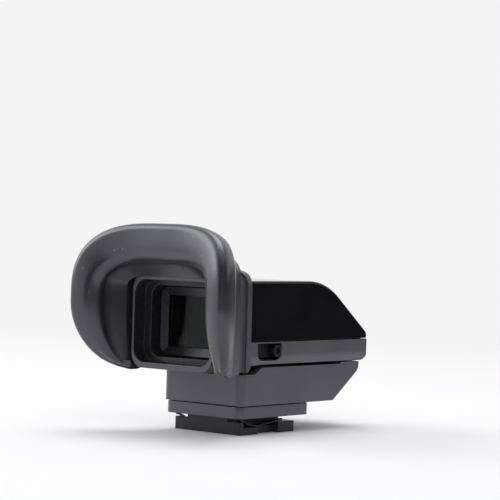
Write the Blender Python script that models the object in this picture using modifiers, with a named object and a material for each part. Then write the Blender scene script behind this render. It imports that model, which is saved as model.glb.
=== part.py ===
"""Clip-on electronic viewfinder: a display and eyepiece in a head that tips up on a base with a shoe foot.

All lengths are in metres. +X is the user's right, +Y points away from the eye and +Z is up.
The origin is the centre of the shoe foot's underside, which is also the surface that the part stands on.
"""

import math

import bmesh
import bpy
from mathutils import Matrix, Vector

# Fits and allowances
SEAT_GAP = 0.0003
SLIDE_GAP = 0.0002
PIN_GAP = 0.00006
SEAM_GAP = 0.00018
OVERRUN = 0.001
MERGE_DISTANCE = 0.000001
ROUND_SIDES = 16
LENS_SIDES = 20
SCREW_SIDES = 10
ARC_STEPS = 5

# Shoe foot
FOOT_WIDTH = 0.0186
FOOT_LENGTH = 0.0182
RAIL_HEIGHT = 0.00155
FOOT_NOSE_HEIGHT = 0.0023
FOOT_NOTCH_LENGTH = 0.0067
FOOT_NOTCH_DEPTH = 0.0016
FOOT_STOP_HEIGHT = 0.00275
FOOT_STOP_THICKNESS = 0.0012
FOOT_CORNER_RADIUS = 0.0008
FOOT_REAR_RADIUS = 0.0002
FOOT_NECK_WIDTH = 0.0114
FOOT_NECK_LENGTH = 0.0168
CONTACT_BLOCK_WIDTH = 0.0150
CONTACT_BLOCK_LENGTH = 0.0034
CONTACT_BLOCK_HEIGHT = 0.0012
CONTACT_RIM = 0.0009
CONTACT_COUNT = 21
CONTACT_WIDTH = 0.00032
CONTACT_LENGTH = 0.0026
CONTACT_THICKNESS = 0.00022
CONTACT_GAP = 0.00008
SPRING_THICKNESS = 0.00025
SPRING_WIDTH = 0.0012
SPRING_LIFT = 0.0004

# Base
BASE_LIFT = 0.0036
BODY_WIDTH = 0.0222
PLATE_SIDE_SETBACK = 0.00045
PLATE_REAR_REACH = 0.0110
PLATE_LENGTH = 0.0234
PLATE_HEIGHT = 0.00250
PLATE_CORNER_RADIUS = 0.0017
PLATE_EDGE = 0.0003
BASE_WALL = 0.0011
BASE_SHELL_HEIGHT = 0.0080
BASE_REAR_OVERHANG = 0.00035
BASE_CORNER_RADIUS = 0.0018
BASE_FRONT_CORNER_RADIUS = 0.0007
BASE_EDGE = 0.0003
REAR_STEP_DROP = 0.00138
REAR_STEP_LENGTH = 0.0046
REAR_STEP_RAMP = 0.0024
CHIN_LEDGE_LENGTH = 0.0076
CHIN_REACH = 0.0092
CHIN_CURVE_RADIUS = 0.0032
HINGE_PAD_RISE = 0.00040
HINGE_PAD_LENGTH = 0.0064
BASE_BOARD_THICKNESS = 0.0008
BASE_BOARD_LENGTH = 0.0164
BASE_BOARD_LIFT = 0.0012
SOCKET_LENGTH = 0.0030
SOCKET_WIDTH = 0.0086
SOCKET_HEIGHT = 0.0012

# Head shells
HEAD_GAP = 0.00057
HEAD_FRONT_OVERHANG = 0.0027
HEAD_LENGTH = 0.0423
HEAD_WALL = 0.0009
LOWER_SHELL_HEIGHT = 0.0048
LOWER_SHELL_EDGE = 0.0004
SEAM_TONGUE_WALL = 0.0004
SEAM_TONGUE_RISE = 0.0006
SEAM_TONGUE_ROOT = 0.0005
LOWER_TUCK = 0.00045
LOWER_TUCK_HEIGHT = 0.0024
REAR_BAND_DROP = 0.0003
REAR_BAND_LENGTH = 0.0031
REAR_BAND_RAMP = 0.0026
COVER_HEIGHT = 0.0127
COVER_EDGE = 0.0007
COVER_TOP_LENGTH = 0.0215
COVER_CURVE_RADIUS = 0.0166
COVER_NOSE_HEIGHT = 0.0016
COVER_NOSE_SETBACK = 0.0004
HINGE_CORNER_RADIUS = 0.0024

# Hinge
EAR_THICKNESS = 0.0014
EAR_RADIUS = 0.0019
EAR_GAP = 0.00025
HEAD_EAR_RADIUS = 0.00125
SHAFT_RADIUS = 0.0007
SHAFT_END_ROOM = 0.0009
THREAD_END = 0.00018
BRACKET_THICKNESS = 0.0007
BRACKET_LENGTH = 0.0066
BASE_EAR_FOOT_LENGTH = 0.0030
WASHER_THICKNESS = 0.0003
NUT_RADIUS = 0.00125
NUT_THICKNESS = 0.0008
SLOT_CLEARANCE = 0.0003

# Eyepiece
OPTIC_RISE = 0.00865
FRAME_OVERHANG = 0.0004
FRAME_HEIGHT = 0.0199
FRAME_DEPTH = 0.01035
FRAME_CORNER_RADIUS = 0.0032
FRAME_RIM = 0.0006
RECESS_HEIGHT = 0.0174
RECESS_DEPTH = 0.0033
RECESS_CORNER_RADIUS = 0.0030
RECESS_LEDGE = 0.00195
INNER_RECESS_HEIGHT = 0.0150
INNER_RECESS_CORNER_RADIUS = 0.0022
BEZEL_DEPTH = 0.0009
BEZEL_SETBACK = 0.0026
BEZEL_BORDER = 0.00185
WINDOW_SIGHT_HEIGHT = 0.0109
WINDOW_THICKNESS = 0.0010
LIGHT_TUNNEL_BORDER = 0.00155
LIGHT_TUNNEL_HEIGHT = 0.0118
SPIGOT_DEPTH = 0.0010

# Eyecup
CUP_CLEARANCE = 0.0003
CUP_BASE_WALL = 0.0007
CUP_BASE_DEPTH = 0.0070
CUP_FLANGE_DEPTH = 0.0015
CUP_FLANGE_RISE = 0.00065
CUP_GROOVE_DEPTH = 0.0025
CUP_COLLAR_WALL = 0.0006
CUP_COLLAR_RISE = 0.0031
CUP_RIM_SPREAD = 0.0092
CUP_RIM_TOP = 0.0205
CUP_REACH = 0.0194
CUP_MIDDLE_RISE = 0.0040
CUP_TIP_DROP = 0.0107
CUP_TIP_REACH = 0.0110
CUP_LIP_SPREAD = 0.0024
CUP_LIP_TOP = 0.0125
CUP_THROAT_SPREAD = 0.0001
CUP_THROAT_TOP = 0.0094
CUP_COLLAR_SQUARENESS = 5.4
CUP_LIP_SQUARENESS = 3.4
CUP_LOWER_SQUARENESS = 2.36
CUP_SWEEP_POWER = 0.84
CUP_TIP_LIFT = 0.00115
CUP_TIP_DRAW = 0.0009
CUP_TOP_SETBACK = 0.0018
CUP_LIP_DEPTH = 0.0175
CUP_LIP_TIP_SPREAD = 0.0005
CUP_FACE_SPREAD = 0.0044
CUP_FACE_TOP = 0.0140
CUP_FACE_DEPTH = 0.0187
CUP_VALLEY_SPREAD = 0.0027
CUP_VALLEY_TOP = 0.0127
CUP_VALLEY_DEPTH = 0.0163
CUP_WALL_SPREAD = 0.0015
CUP_WALL_TOP = 0.0115
CUP_WALL_DEPTH = 0.0142
CUP_TOP_STEPS = 9
CUP_SIDE_STEPS = 8

# Lens group and focusing lever
BARREL_SIDE_ROOM = 0.0022
BARREL_HEIGHT = 0.0144
BARREL_LENGTH = 0.0170
BARREL_WALL = 0.0008
BARREL_SETBACK = 0.0026
CARRIER_LENGTH = 0.0110
CARRIER_FRONT_ROOM = 0.0025
CARRIER_WALL = 0.0006
LENS_GAP = 0.0002
FRONT_LENS_THICKNESS = 0.0030
MIDDLE_LENS_THICKNESS = 0.0018
REAR_LENS_THICKNESS = 0.0026
LENS_EDGE = 0.0008
LENS_RING_WALL = 0.0007
LENS_RING_LENGTH = 0.0008
LEVER_REACH = 0.0100
LEVER_THICKNESS = 0.0008
LEVER_SIDE_GAP = 0.0006
LEVER_TRAVEL = 0.0047
LEVER_BOSS_RADIUS = 0.0014
LEVER_SHIELD_WIDTH = 0.0033
LEVER_SHIELD_INNER = 0.0079
LEVER_PIN_REACH = 0.0042
LEVER_PIN_RADIUS = 0.00045
PIVOT_RADIUS = 0.0005
KNOB_RADIUS = 0.00126
KNOB_HOLLOW_RADIUS = 0.0007
KNOB_HOLLOW_DEPTH = 0.0006
KNOB_STANDOUT = 0.0001
WINDOW_SLOT_LENGTH = 0.0079
WINDOW_SLOT_REAR = 0.0042
WINDOW_SLOT_SILL = 0.00085
WINDOW_SLOT_RADIUS = 0.0013
WINDOW_SLOT_STRIP = 0.0003
KNOB_END_GAP = 0.0001
FORK_CLEARANCE = 0.00018
FORK_HEIGHT = 0.0024
FORK_DEPTH = 0.0008

# Display and electronics
DISPLAY_SIDE_ROOM = 0.0016
DISPLAY_HOLDER_HEIGHT = 0.0138
DISPLAY_HOLDER_DEPTH = 0.0040
DISPLAY_HOLDER_WALL = 0.0012
DISPLAY_RIM = 0.0017
DISPLAY_OPENING_HEIGHT = 0.0084
MASK_THICKNESS = 0.0003
PANEL_HEIGHT = 0.0112
PANEL_THICKNESS = 0.0011
DRIVER_BOARD_THICKNESS = 0.0007
DISPLAY_LIP = 0.0010
HEAD_BOARD_LENGTH = 0.0100
HEAD_BOARD_WIDTH = 0.0080
HEAD_BOARD_THICKNESS = 0.0007
CHIP_SIZE = 0.0026
CHIP_HEIGHT = 0.0007
CHIP_PITCH_SHARE = 0.5
FLEX_THICKNESS = 0.00015
FLEX_WIDTH = 0.0050
FLEX_LOOP_RADIUS = 0.00120
FLEX_BEND_RADIUS = 0.0009

# Screws
SCREW_HEAD_RADIUS = 0.00080
SCREW_HEAD_HEIGHT = 0.00045
SCREW_SHANK_RADIUS = 0.00045
BASE_SCREW_LENGTH = 0.0041
HEAD_SCREW_LENGTH = 0.0019
BOSS_RADIUS = 0.0013
BOSS_HEIGHT = 0.0024
SCREW_RECESS = 0.00015
SCREW_INSET = 0.0024

# Levels and places worked out from the sizes above
foot_half = FOOT_LENGTH / 2
shell_bottom = BASE_LIFT + PLATE_HEIGHT + SEAM_GAP
base_top = shell_bottom + BASE_SHELL_HEIGHT
rear_step_top = base_top - REAR_STEP_DROP
hinge_pad_top = base_top + HINGE_PAD_RISE
bracket_top = base_top - BASE_WALL - CONTACT_GAP
plate_rear = -PLATE_REAR_REACH
plate_front = plate_rear + PLATE_LENGTH
base_rear = plate_rear - BASE_REAR_OVERHANG
chin_front = plate_front + CHIN_LEDGE_LENGTH
base_front = chin_front + CHIN_REACH
half_body = BODY_WIDTH / 2
plate_half = half_body - PLATE_SIDE_SETBACK
base_screw_x = plate_half - SCREW_INSET + BASE_WALL / 2
base_screw_y = PLATE_REAR_REACH - SCREW_INSET + BASE_WALL / 2

head_bottom = base_top + HEAD_GAP
head_front = base_front + HEAD_FRONT_OVERHANG
head_rear = head_front - HEAD_LENGTH
seam_level = head_bottom + LOWER_SHELL_HEIGHT
cover_bottom = seam_level + SEAM_GAP
cover_top = cover_bottom + COVER_HEIGHT
head_floor = head_bottom + HEAD_WALL
inner_half = half_body - HEAD_WALL
tongue_half = inner_half - SLIDE_GAP
tongue_top = seam_level + SEAM_TONGUE_RISE
tongue_root = seam_level - SEAM_TONGUE_ROOT
tongue_front = head_front - COVER_NOSE_SETBACK / 2 - HEAD_WALL - SLIDE_GAP
tongue_rear = head_rear + SPIGOT_DEPTH + SLIDE_GAP
hinge_y = head_front - HINGE_CORNER_RADIUS
hinge_z = head_bottom + HINGE_CORNER_RADIUS
shaft_half = inner_half - SHAFT_END_ROOM
ear_outer = shaft_half - THREAD_END - NUT_THICKNESS - WASHER_THICKNESS - 2 * PIN_GAP
ear_inner = ear_outer - EAR_THICKNESS

optic_z = head_bottom + OPTIC_RISE
frame_half = half_body + FRAME_OVERHANG
recess_half = frame_half - FRAME_RIM
inner_recess_half = recess_half - RECESS_LEDGE
sight_half = inner_recess_half - BEZEL_BORDER
tunnel_half = inner_recess_half - LIGHT_TUNNEL_BORDER
frame_front = head_rear - SEAT_GAP
frame_rear = frame_front - FRAME_DEPTH
bezel_rear = frame_rear + RECESS_DEPTH + BEZEL_SETBACK
window_rear = bezel_rear + BEZEL_DEPTH + SEAT_GAP
inner_recess_front = window_rear + WINDOW_THICKNESS + SEAT_GAP
barrel_rear = head_rear + BARREL_SETBACK
barrel_front = barrel_rear + BARREL_LENGTH
carrier_front = barrel_front - CARRIER_FRONT_ROOM
carrier_rear = carrier_front - CARRIER_LENGTH
barrel_half = inner_half - BARREL_SIDE_ROOM
channel_half = barrel_half - BARREL_WALL
channel_rise = BARREL_HEIGHT / 2 - BARREL_WALL
carrier_half = channel_half - SLIDE_GAP
carrier_rise = channel_rise - SLIDE_GAP
carrier_bore = min(carrier_half, carrier_rise) - CARRIER_WALL
lens_radius = carrier_bore - LENS_GAP
holder_half = inner_half - DISPLAY_SIDE_ROOM
panel_half = holder_half - DISPLAY_HOLDER_WALL - SLIDE_GAP
display_opening_half = panel_half - DISPLAY_RIM

slot_rear = head_rear + WINDOW_SLOT_REAR
slot_front = slot_rear + WINDOW_SLOT_LENGTH
slot_sill = head_bottom + WINDOW_SLOT_SILL
knob_y = slot_front - KNOB_RADIUS - KNOB_END_GAP
knob_z = slot_sill + (seam_level - slot_sill) / 2
lever_half_swing = math.asin(LEVER_TRAVEL / 2 / LEVER_REACH)
pivot_y = knob_y - LEVER_TRAVEL / 2
pivot_z = knob_z + LEVER_REACH * math.cos(lever_half_swing)
lever_inner = barrel_half + LEVER_SIDE_GAP
lever_outer = lever_inner + LEVER_THICKNESS
fork_y = pivot_y + LEVER_PIN_REACH * math.sin(lever_half_swing)
fork_z = pivot_z - LEVER_PIN_REACH * math.cos(lever_half_swing)
lens_travel = LEVER_PIN_REACH * LEVER_TRAVEL / LEVER_REACH

COLLECTION_NAME = "electronic_viewfinder"


def start_clean():
    """Empty the scene, and make one collection for the parts and one for their cutters."""
    for obj in list(bpy.data.objects):
        bpy.data.objects.remove(obj, do_unlink=True)
    made = []
    for name in (COLLECTION_NAME, "cutters"):
        collection = bpy.data.collections.new(name)
        bpy.context.scene.collection.children.link(collection)
        made.append(collection)
    return made


parts_collection, cutters_collection = start_clean()


def material(name, colour, roughness, metallic=0.0, alpha=1.0):
    """Make a plain Principled material."""
    made = bpy.data.materials.new(name)
    made.use_nodes = True
    shader = made.node_tree.nodes["Principled BSDF"]
    shader.inputs["Base Color"].default_value = (*colour, 1.0)
    shader.inputs["Roughness"].default_value = roughness
    shader.inputs["Metallic"].default_value = metallic
    shader.inputs["Alpha"].default_value = alpha
    made.diffuse_color = (*colour, alpha)
    return made


satin_black = material("satin_black_plastic", (0.035, 0.035, 0.038), 0.45)
gloss_black = material("gloss_black_plastic", (0.012, 0.012, 0.013), 0.12)
dull_black = material("dull_black_plastic", (0.018, 0.018, 0.019), 0.7)
soft_rubber = material("charcoal_rubber", (0.060, 0.062, 0.068), 0.6)
clear_glass = material("coated_glass", (0.55, 0.68, 0.60), 0.04, alpha=0.35)
display_glass = material("display_glass", (0.02, 0.02, 0.03), 0.08)
bright_steel = material("bright_steel", (0.60, 0.60, 0.61), 0.25, metallic=1.0)
gold_plate = material("gold_plate", (0.83, 0.62, 0.28), 0.25, metallic=1.0)
board_green = material("circuit_board", (0.03, 0.12, 0.07), 0.5)
flex_amber = material("flex_circuit", (0.45, 0.22, 0.05), 0.4)
chip_black = material("chip_resin", (0.03, 0.03, 0.03), 0.55)


def add_object(name, mesh, surface=None):
    """Link a mesh as a part with its material, or as a hidden cutter when it has none."""
    obj = bpy.data.objects.new(name, mesh)
    if surface is None:
        cutters_collection.objects.link(obj)
        obj.hide_render = True
        obj.display_type = "WIRE"
    else:
        parts_collection.objects.link(obj)
        mesh.materials.clear()
        mesh.materials.append(surface)
    return obj


def block(name, low, high, surface=None):
    """A box from its lowest to its highest corner."""
    low = Vector(low)
    high = Vector(high)
    bm = bmesh.new()
    bmesh.ops.create_cube(bm, size=1.0)
    bmesh.ops.scale(bm, vec=high - low, verts=bm.verts)
    mesh = bpy.data.meshes.new(name)
    bm.to_mesh(mesh)
    bm.free()
    obj = add_object(name, mesh, surface)
    obj.location = (low + high) / 2
    return obj


def rod(name, radius, start, end, surface=None, sides=ROUND_SIDES):
    """A round bar between two points."""
    start = Vector(start)
    end = Vector(end)
    along = end - start
    bm = bmesh.new()
    bmesh.ops.create_cone(
        bm, cap_ends=True, segments=sides, radius1=radius, radius2=radius, depth=along.length
    )
    mesh = bpy.data.meshes.new(name)
    bm.to_mesh(mesh)
    bm.free()
    mesh.shade_smooth()
    mesh.set_sharp_from_angle(angle=math.radians(40))
    obj = add_object(name, mesh, surface)
    obj.rotation_euler = along.to_track_quat("Z", "Y").to_euler()
    obj.location = (start + end) / 2
    return obj


# How a flat outline's own x, y and normal lie in the world for each way it can face
FACING = {
    "X": Matrix(((0, 0, 1, 0), (1, 0, 0, 0), (0, 1, 0, 0), (0, 0, 0, 1))),
    "Y": Matrix(((1, 0, 0, 0), (0, 0, -1, 0), (0, 1, 0, 0), (0, 0, 0, 1))),
    "Z": Matrix.Identity(4),
}


def slab(name, outlines, low, high, facing, surface=None):
    """Extrude flat outlines along the facing axis from low to high; inner outlines become holes."""
    curve = bpy.data.curves.new(name, "CURVE")
    curve.dimensions = "2D"
    curve.fill_mode = "BOTH"
    curve.extrude = (high - low) / 2
    for outline in outlines:
        spline = curve.splines.new("POLY")
        spline.points.add(len(outline) - 1)
        for point, (across, up) in zip(spline.points, outline):
            point.co = (across, up, 0, 1)
        spline.use_cyclic_u = True
    drawn = bpy.data.objects.new(name + "_outline", curve)
    bpy.context.scene.collection.objects.link(drawn)
    middle = Vector((0, 0, 0))
    middle["XYZ".index(facing)] = (low + high) / 2
    drawn.matrix_world = Matrix.Translation(middle) @ FACING[facing]
    bpy.context.view_layer.update()
    mesh = bpy.data.meshes.new_from_object(drawn.evaluated_get(bpy.context.evaluated_depsgraph_get()))
    bm = bmesh.new()
    bm.from_mesh(mesh)
    bmesh.ops.remove_doubles(bm, verts=bm.verts, dist=MERGE_DISTANCE)
    bmesh.ops.recalc_face_normals(bm, faces=bm.faces)
    bm.to_mesh(mesh)
    bm.free()
    mesh.name = name
    obj = add_object(name, mesh, surface)
    obj.matrix_world = drawn.matrix_world
    bpy.data.objects.remove(drawn, do_unlink=True)
    return obj


def turned(name, profile, place, direction, surface, sides=ROUND_SIDES):
    """Spin a profile of (radius, height) points, written from its top down, about the given direction."""
    mesh = bpy.data.meshes.new(name)
    points = [(radius, 0, height) for radius, height in profile]
    edges = [(i, i + 1) for i in range(len(points) - 1)]
    if profile[0][0] > 0:
        edges.append((len(points) - 1, 0))
    mesh.from_pydata(points, edges, [])
    obj = add_object(name, mesh, surface)
    obj.rotation_euler = Vector(direction).to_track_quat("Z", "Y").to_euler()
    obj.location = place
    spin = obj.modifiers.new("spin", "SCREW")
    spin.steps = sides
    spin.render_steps = sides
    spin.use_merge_vertices = True
    spin.merge_threshold = MERGE_DISTANCE
    return obj


def bevel(obj, width, segments=2, angle=math.radians(60)):
    """Round the edges of an object that are sharper than the angle."""
    rounding = obj.modifiers.new("rounding", "BEVEL")
    rounding.width = width
    rounding.segments = segments
    rounding.limit_method = "ANGLE"
    rounding.angle_limit = angle
    return obj


def combine(obj, operation, others):
    """Add a Boolean modifier for each other object, which becomes a cutter."""
    for other in others:
        if other.name in parts_collection.objects:
            parts_collection.objects.unlink(other)
            cutters_collection.objects.link(other)
            other.hide_render = True
            other.display_type = "WIRE"
        boolean = obj.modifiers.new(operation.lower(), "BOOLEAN")
        boolean.operation = operation
        boolean.object = other
        boolean.solver = "EXACT"
    return obj


def cut(obj, *cutters):
    return combine(obj, "DIFFERENCE", cutters)


def join(obj, *others):
    return combine(obj, "UNION", others)


def copies(obj, places):
    """Put the object at the first place, and a copy that shares its mesh at each of the others."""
    made = [obj]
    obj.location = places[0]
    for place in places[1:]:
        another = obj.copy()
        another.location = place
        parts_collection.objects.link(another)
        made.append(another)
    stem = obj.name
    for number, piece in enumerate(made, start=1):
        piece.name = f"{stem}_{number}"
    return made


def four_corners(half_x, half_y, level):
    """The corners of a level rectangle about the origin."""
    return [(x * half_x, y * half_y, level) for x in (-1, 1) for y in (-1, 1)]


def arc(centre, radius, start, end, steps=ARC_STEPS):
    """Points along an arc, with angles in radians."""
    return [
        (
            centre[0] + radius * math.cos(start + (end - start) * i / steps),
            centre[1] + radius * math.sin(start + (end - start) * i / steps),
        )
        for i in range(steps + 1)
    ]


def rounded_rectangle(half_width, low, high, radius, front_radius=None, steps=ARC_STEPS):
    """An upright rectangle about x = 0 with round corners, which may differ at its high side."""
    top_radius = radius if front_radius is None else front_radius
    quarter = math.pi / 2
    x = half_width
    return (
        arc((x - radius, low + radius), radius, -quarter, 0, steps)
        + arc((x - top_radius, high - top_radius), top_radius, 0, quarter, steps)
        + arc((top_radius - x, high - top_radius), top_radius, quarter, 2 * quarter, steps)
        + arc((radius - x, low + radius), radius, 2 * quarter, 3 * quarter, steps)
    )


def tangent_angle(point, centre, radius, side):
    """Angle on a circle at which the line from a point touches it, on the side given as 1 or -1."""
    across = centre[0] - point[0]
    up = centre[1] - point[1]
    distance = math.hypot(across, up)
    return math.atan2(-up, -across) + side * math.acos(radius / distance)


def make_foot():
    """The shoe foot: side rails with a notch, a thick nose for the contacts, an end wall and the neck."""
    half = FOOT_WIDTH / 2
    notch = FOOT_NOTCH_LENGTH / 2
    neck_half = FOOT_NECK_WIDTH / 2
    outside = half + OVERRUN
    neck_top = BASE_LIFT - CONTACT_GAP
    above = neck_top + OVERRUN
    stop_front = FOOT_STOP_THICKNESS - foot_half
    neck_front = FOOT_NECK_LENGTH - foot_half
    front = foot_half + OVERRUN
    outline = rounded_rectangle(half, -foot_half, foot_half, FOOT_REAR_RADIUS, FOOT_CORNER_RADIUS)
    foot = slab("shoe_foot", [outline], 0, neck_top, "Z", satin_black)
    rail_step = [
        (-foot_half - OVERRUN, FOOT_STOP_HEIGHT),
        (stop_front, FOOT_STOP_HEIGHT),
        (stop_front, RAIL_HEIGHT),
        (notch, RAIL_HEIGHT),
        (notch, FOOT_NOSE_HEIGHT),
        (front, FOOT_NOSE_HEIGHT),
        (front, above),
        (-foot_half - OVERRUN, above),
    ]
    for low, high in ((neck_half, outside), (-outside, -neck_half)):
        cut(foot, slab("rail_step", [rail_step], low, high, "X"))
    for low, high in ((half - FOOT_NOTCH_DEPTH, outside), (-outside, FOOT_NOTCH_DEPTH - half)):
        cut(foot, block("foot_notch", (low, -notch, -OVERRUN), (high, notch, RAIL_HEIGHT + OVERRUN)))
    neck_step = FOOT_NOSE_HEIGHT + SLIDE_GAP
    cut(foot, block("neck_front", (-outside, neck_front, neck_step), (outside, front, above)))
    pocket_front = foot_half - CONTACT_RIM
    pocket_half = CONTACT_BLOCK_WIDTH / 2 + SLIDE_GAP
    block_bottom = CONTACT_THICKNESS + CONTACT_GAP
    pocket = block(
        "contact_pocket",
        (-pocket_half, pocket_front - CONTACT_BLOCK_LENGTH - 2 * SLIDE_GAP, -OVERRUN),
        (pocket_half, pocket_front, block_bottom + CONTACT_BLOCK_HEIGHT + SLIDE_GAP),
    )
    cut(foot, pocket)

    block_front = pocket_front - SLIDE_GAP
    block(
        "shoe_contact_block",
        (-CONTACT_BLOCK_WIDTH / 2, block_front - CONTACT_BLOCK_LENGTH, block_bottom),
        (CONTACT_BLOCK_WIDTH / 2, block_front, block_bottom + CONTACT_BLOCK_HEIGHT),
        dull_black,
    )
    pitch = (CONTACT_BLOCK_WIDTH - 2 * CONTACT_WIDTH) / (CONTACT_COUNT - 1)
    first = -pitch * (CONTACT_COUNT - 1) / 2
    contact_middle = block_front - CONTACT_BLOCK_LENGTH / 2
    contacts = block(
        "shoe_contacts",
        (first - CONTACT_WIDTH / 2, contact_middle - CONTACT_LENGTH / 2, 0),
        (first + CONTACT_WIDTH / 2, contact_middle + CONTACT_LENGTH / 2, CONTACT_THICKNESS),
        gold_plate,
    )
    row = contacts.modifiers.new("row", "ARRAY")
    row.count = CONTACT_COUNT
    row.use_relative_offset = False
    row.use_constant_offset = True
    row.constant_offset_displace = (pitch, 0, 0)
    tie_rear = block_front - CONTACT_BLOCK_LENGTH
    tie_front = contact_middle - CONTACT_LENGTH / 2 + CONTACT_GAP
    tie = block(
        "contact_tie",
        (first - CONTACT_WIDTH, tie_rear, CONTACT_GAP),
        (CONTACT_WIDTH - first, tie_front, CONTACT_THICKNESS - CONTACT_GAP / 2),
    )
    join(contacts, tie)

    spring_outer = half - CONTACT_GAP
    spring_inner = spring_outer - SPRING_WIDTH
    over_nose = FOOT_NOSE_HEIGHT + CONTACT_GAP
    bow = [
        (-foot_half + CONTACT_GAP, FOOT_STOP_HEIGHT + SPRING_LIFT),
        (stop_front, FOOT_STOP_HEIGHT + CONTACT_GAP),
        (stop_front + FOOT_STOP_THICKNESS, (FOOT_STOP_HEIGHT + RAIL_HEIGHT) / 2),
        (-notch, RAIL_HEIGHT + CONTACT_GAP),
        (notch, over_nose + CONTACT_GAP),
        (notch + FOOT_STOP_THICKNESS, over_nose),
    ]
    spring = strip_between("shoe_spring", bow, SPRING_THICKNESS, spring_inner, spring_outer, bright_steel)
    middle = spring_inner + SPRING_WIDTH / 2
    copies(spring, [(middle, 0, 0), (-middle, 0, 0)])


def strip_between(name, centre_line, thickness, low_x, high_x, surface):
    """A thin band between two values of x, whose lower side follows a line of (y, z) points."""
    upper = []
    for i, (y, z) in enumerate(centre_line):
        before = centre_line[max(i - 1, 0)]
        after = centre_line[min(i + 1, len(centre_line) - 1)]
        along = Vector((after[0] - before[0], after[1] - before[1])).normalized()
        upper.append((y - along.y * thickness, z + along.x * thickness))
    return slab(name, [list(centre_line) + upper[::-1]], low_x, high_x, "X", surface)


def base_profile(inset=0.0):
    """Side outline of the base shell as (y, z) points; an inset gives the hollow inside it."""
    low = shell_bottom + inset if inset else shell_bottom
    rear = base_rear + inset
    step_end = base_rear + REAR_STEP_LENGTH + inset
    ramp_end = step_end + REAR_STEP_RAMP
    top = base_top - inset
    pad = hinge_pad_top - inset
    pad_start = base_front - HINGE_PAD_LENGTH
    centre = (base_front - CHIN_CURVE_RADIUS, hinge_pad_top)
    radius = CHIN_CURVE_RADIUS - inset
    lip = (chin_front - inset, low)
    touch = tangent_angle(lip, centre, radius, 1)
    outline = [(rear, low), lip]
    outline += arc(centre, radius, touch, math.asin(-inset / radius))
    outline += [(pad_start, pad), (pad_start - HINGE_PAD_RISE, top)]
    outline += [(ramp_end, top), (step_end, rear_step_top - inset), (rear, rear_step_top - inset)]
    return outline


def make_base():
    """The fixed base: its upper shell, the plate that closes it, and the board inside."""
    plate = slab(
        "base_lower_plate",
        [rounded_rectangle(plate_half, plate_rear, plate_front, PLATE_CORNER_RADIUS)],
        BASE_LIFT,
        BASE_LIFT + PLATE_HEIGHT,
        "Z",
        satin_black,
    )
    bevel(plate, PLATE_EDGE)
    tray = slab(
        "plate_hollow",
        [
            rounded_rectangle(
                plate_half - BASE_WALL,
                plate_rear + BASE_WALL,
                plate_front - BASE_WALL,
                PLATE_CORNER_RADIUS,
            )
        ],
        BASE_LIFT + BASE_WALL,
        shell_bottom + OVERRUN,
        "Z",
    )
    cut(plate, tray)

    shell = slab("base_housing", [base_profile()], -half_body, half_body, "X", satin_black)
    bevel(shell, BASE_EDGE)
    footprint = slab(
        "base_footprint",
        [rounded_rectangle(half_body, base_rear, base_front, BASE_CORNER_RADIUS, BASE_FRONT_CORNER_RADIUS)],
        shell_bottom - OVERRUN,
        hinge_pad_top + OVERRUN,
        "Z",
    )
    combine(shell, "INTERSECT", [footprint])
    hollow_half = half_body - BASE_WALL
    hollow = slab("base_hollow", [base_profile(BASE_WALL)], -hollow_half, hollow_half, "X")
    hatch = slab(
        "base_hatch",
        [
            rounded_rectangle(
                plate_half - BASE_WALL,
                plate_rear + BASE_WALL,
                plate_front - BASE_WALL,
                PLATE_CORNER_RADIUS,
            )
        ],
        shell_bottom - OVERRUN,
        shell_bottom + 2 * BASE_WALL,
        "Z",
    )
    cut(shell, hollow, hatch, *ear_slots("base_ear_slot", base_slot_box), flex_slot())

    board_bottom = shell_bottom + BASE_BOARD_LIFT
    board_top = board_bottom + BASE_BOARD_THICKNESS
    board_side = base_screw_x - BOSS_RADIUS - SLIDE_GAP
    block(
        "base_board",
        (-board_side, -BASE_BOARD_LENGTH / 2, board_bottom),
        (board_side, BASE_BOARD_LENGTH / 2, board_top),
        board_green,
    )
    socket_front = BASE_BOARD_LENGTH / 2 - SEAT_GAP
    block(
        "base_socket",
        (-SOCKET_WIDTH / 2, socket_front - SOCKET_LENGTH, board_top + CONTACT_GAP),
        (SOCKET_WIDTH / 2, socket_front, board_top + CONTACT_GAP + SOCKET_HEIGHT),
        dull_black,
    )

    plate_screw = make_screw("base_screw", BASE_SCREW_LENGTH)
    corners = four_corners(base_screw_x, base_screw_y, BASE_LIFT + SCREW_RECESS)
    holes = [
        rod(
            "plate_screw_hole",
            SCREW_HEAD_RADIUS + SLIDE_GAP,
            (x, y, BASE_LIFT - OVERRUN),
            (x, y, BASE_LIFT + PLATE_HEIGHT + OVERRUN),
        )
        for x, y, _ in corners
    ]
    cut(plate, *holes)
    boss_bottom = shell_bottom + SLIDE_GAP
    bosses = [
        rod("screw_boss", BOSS_RADIUS, (x, y, boss_bottom), (x, y, boss_bottom + BOSS_HEIGHT))
        for x, y, _ in corners
    ]
    shell_holes = [
        rod(
            "boss_hole",
            SCREW_SHANK_RADIUS + PIN_GAP,
            (x, y, shell_bottom - OVERRUN),
            (x, y, BASE_LIFT + SCREW_RECESS + BASE_SCREW_LENGTH + SLIDE_GAP),
            sides=SCREW_SIDES,
        )
        for x, y, _ in corners
    ]
    join(shell, *bosses)
    cut(shell, *shell_holes)
    copies(plate_screw, corners)


def make_screw(name, length):
    """A small pan-head screw that points up, with its origin in the middle of its head's outer face."""
    shank_end = -length
    profile = [
        (0, 0),
        (SCREW_HEAD_RADIUS, 0),
        (SCREW_HEAD_RADIUS, -SCREW_HEAD_HEIGHT),
        (SCREW_SHANK_RADIUS, -SCREW_HEAD_HEIGHT),
        (SCREW_SHANK_RADIUS, shank_end),
        (0, shank_end),
    ]
    return turned(name, profile, (0, 0, 0), (0, 0, -1), bright_steel, SCREW_SIDES)


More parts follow.
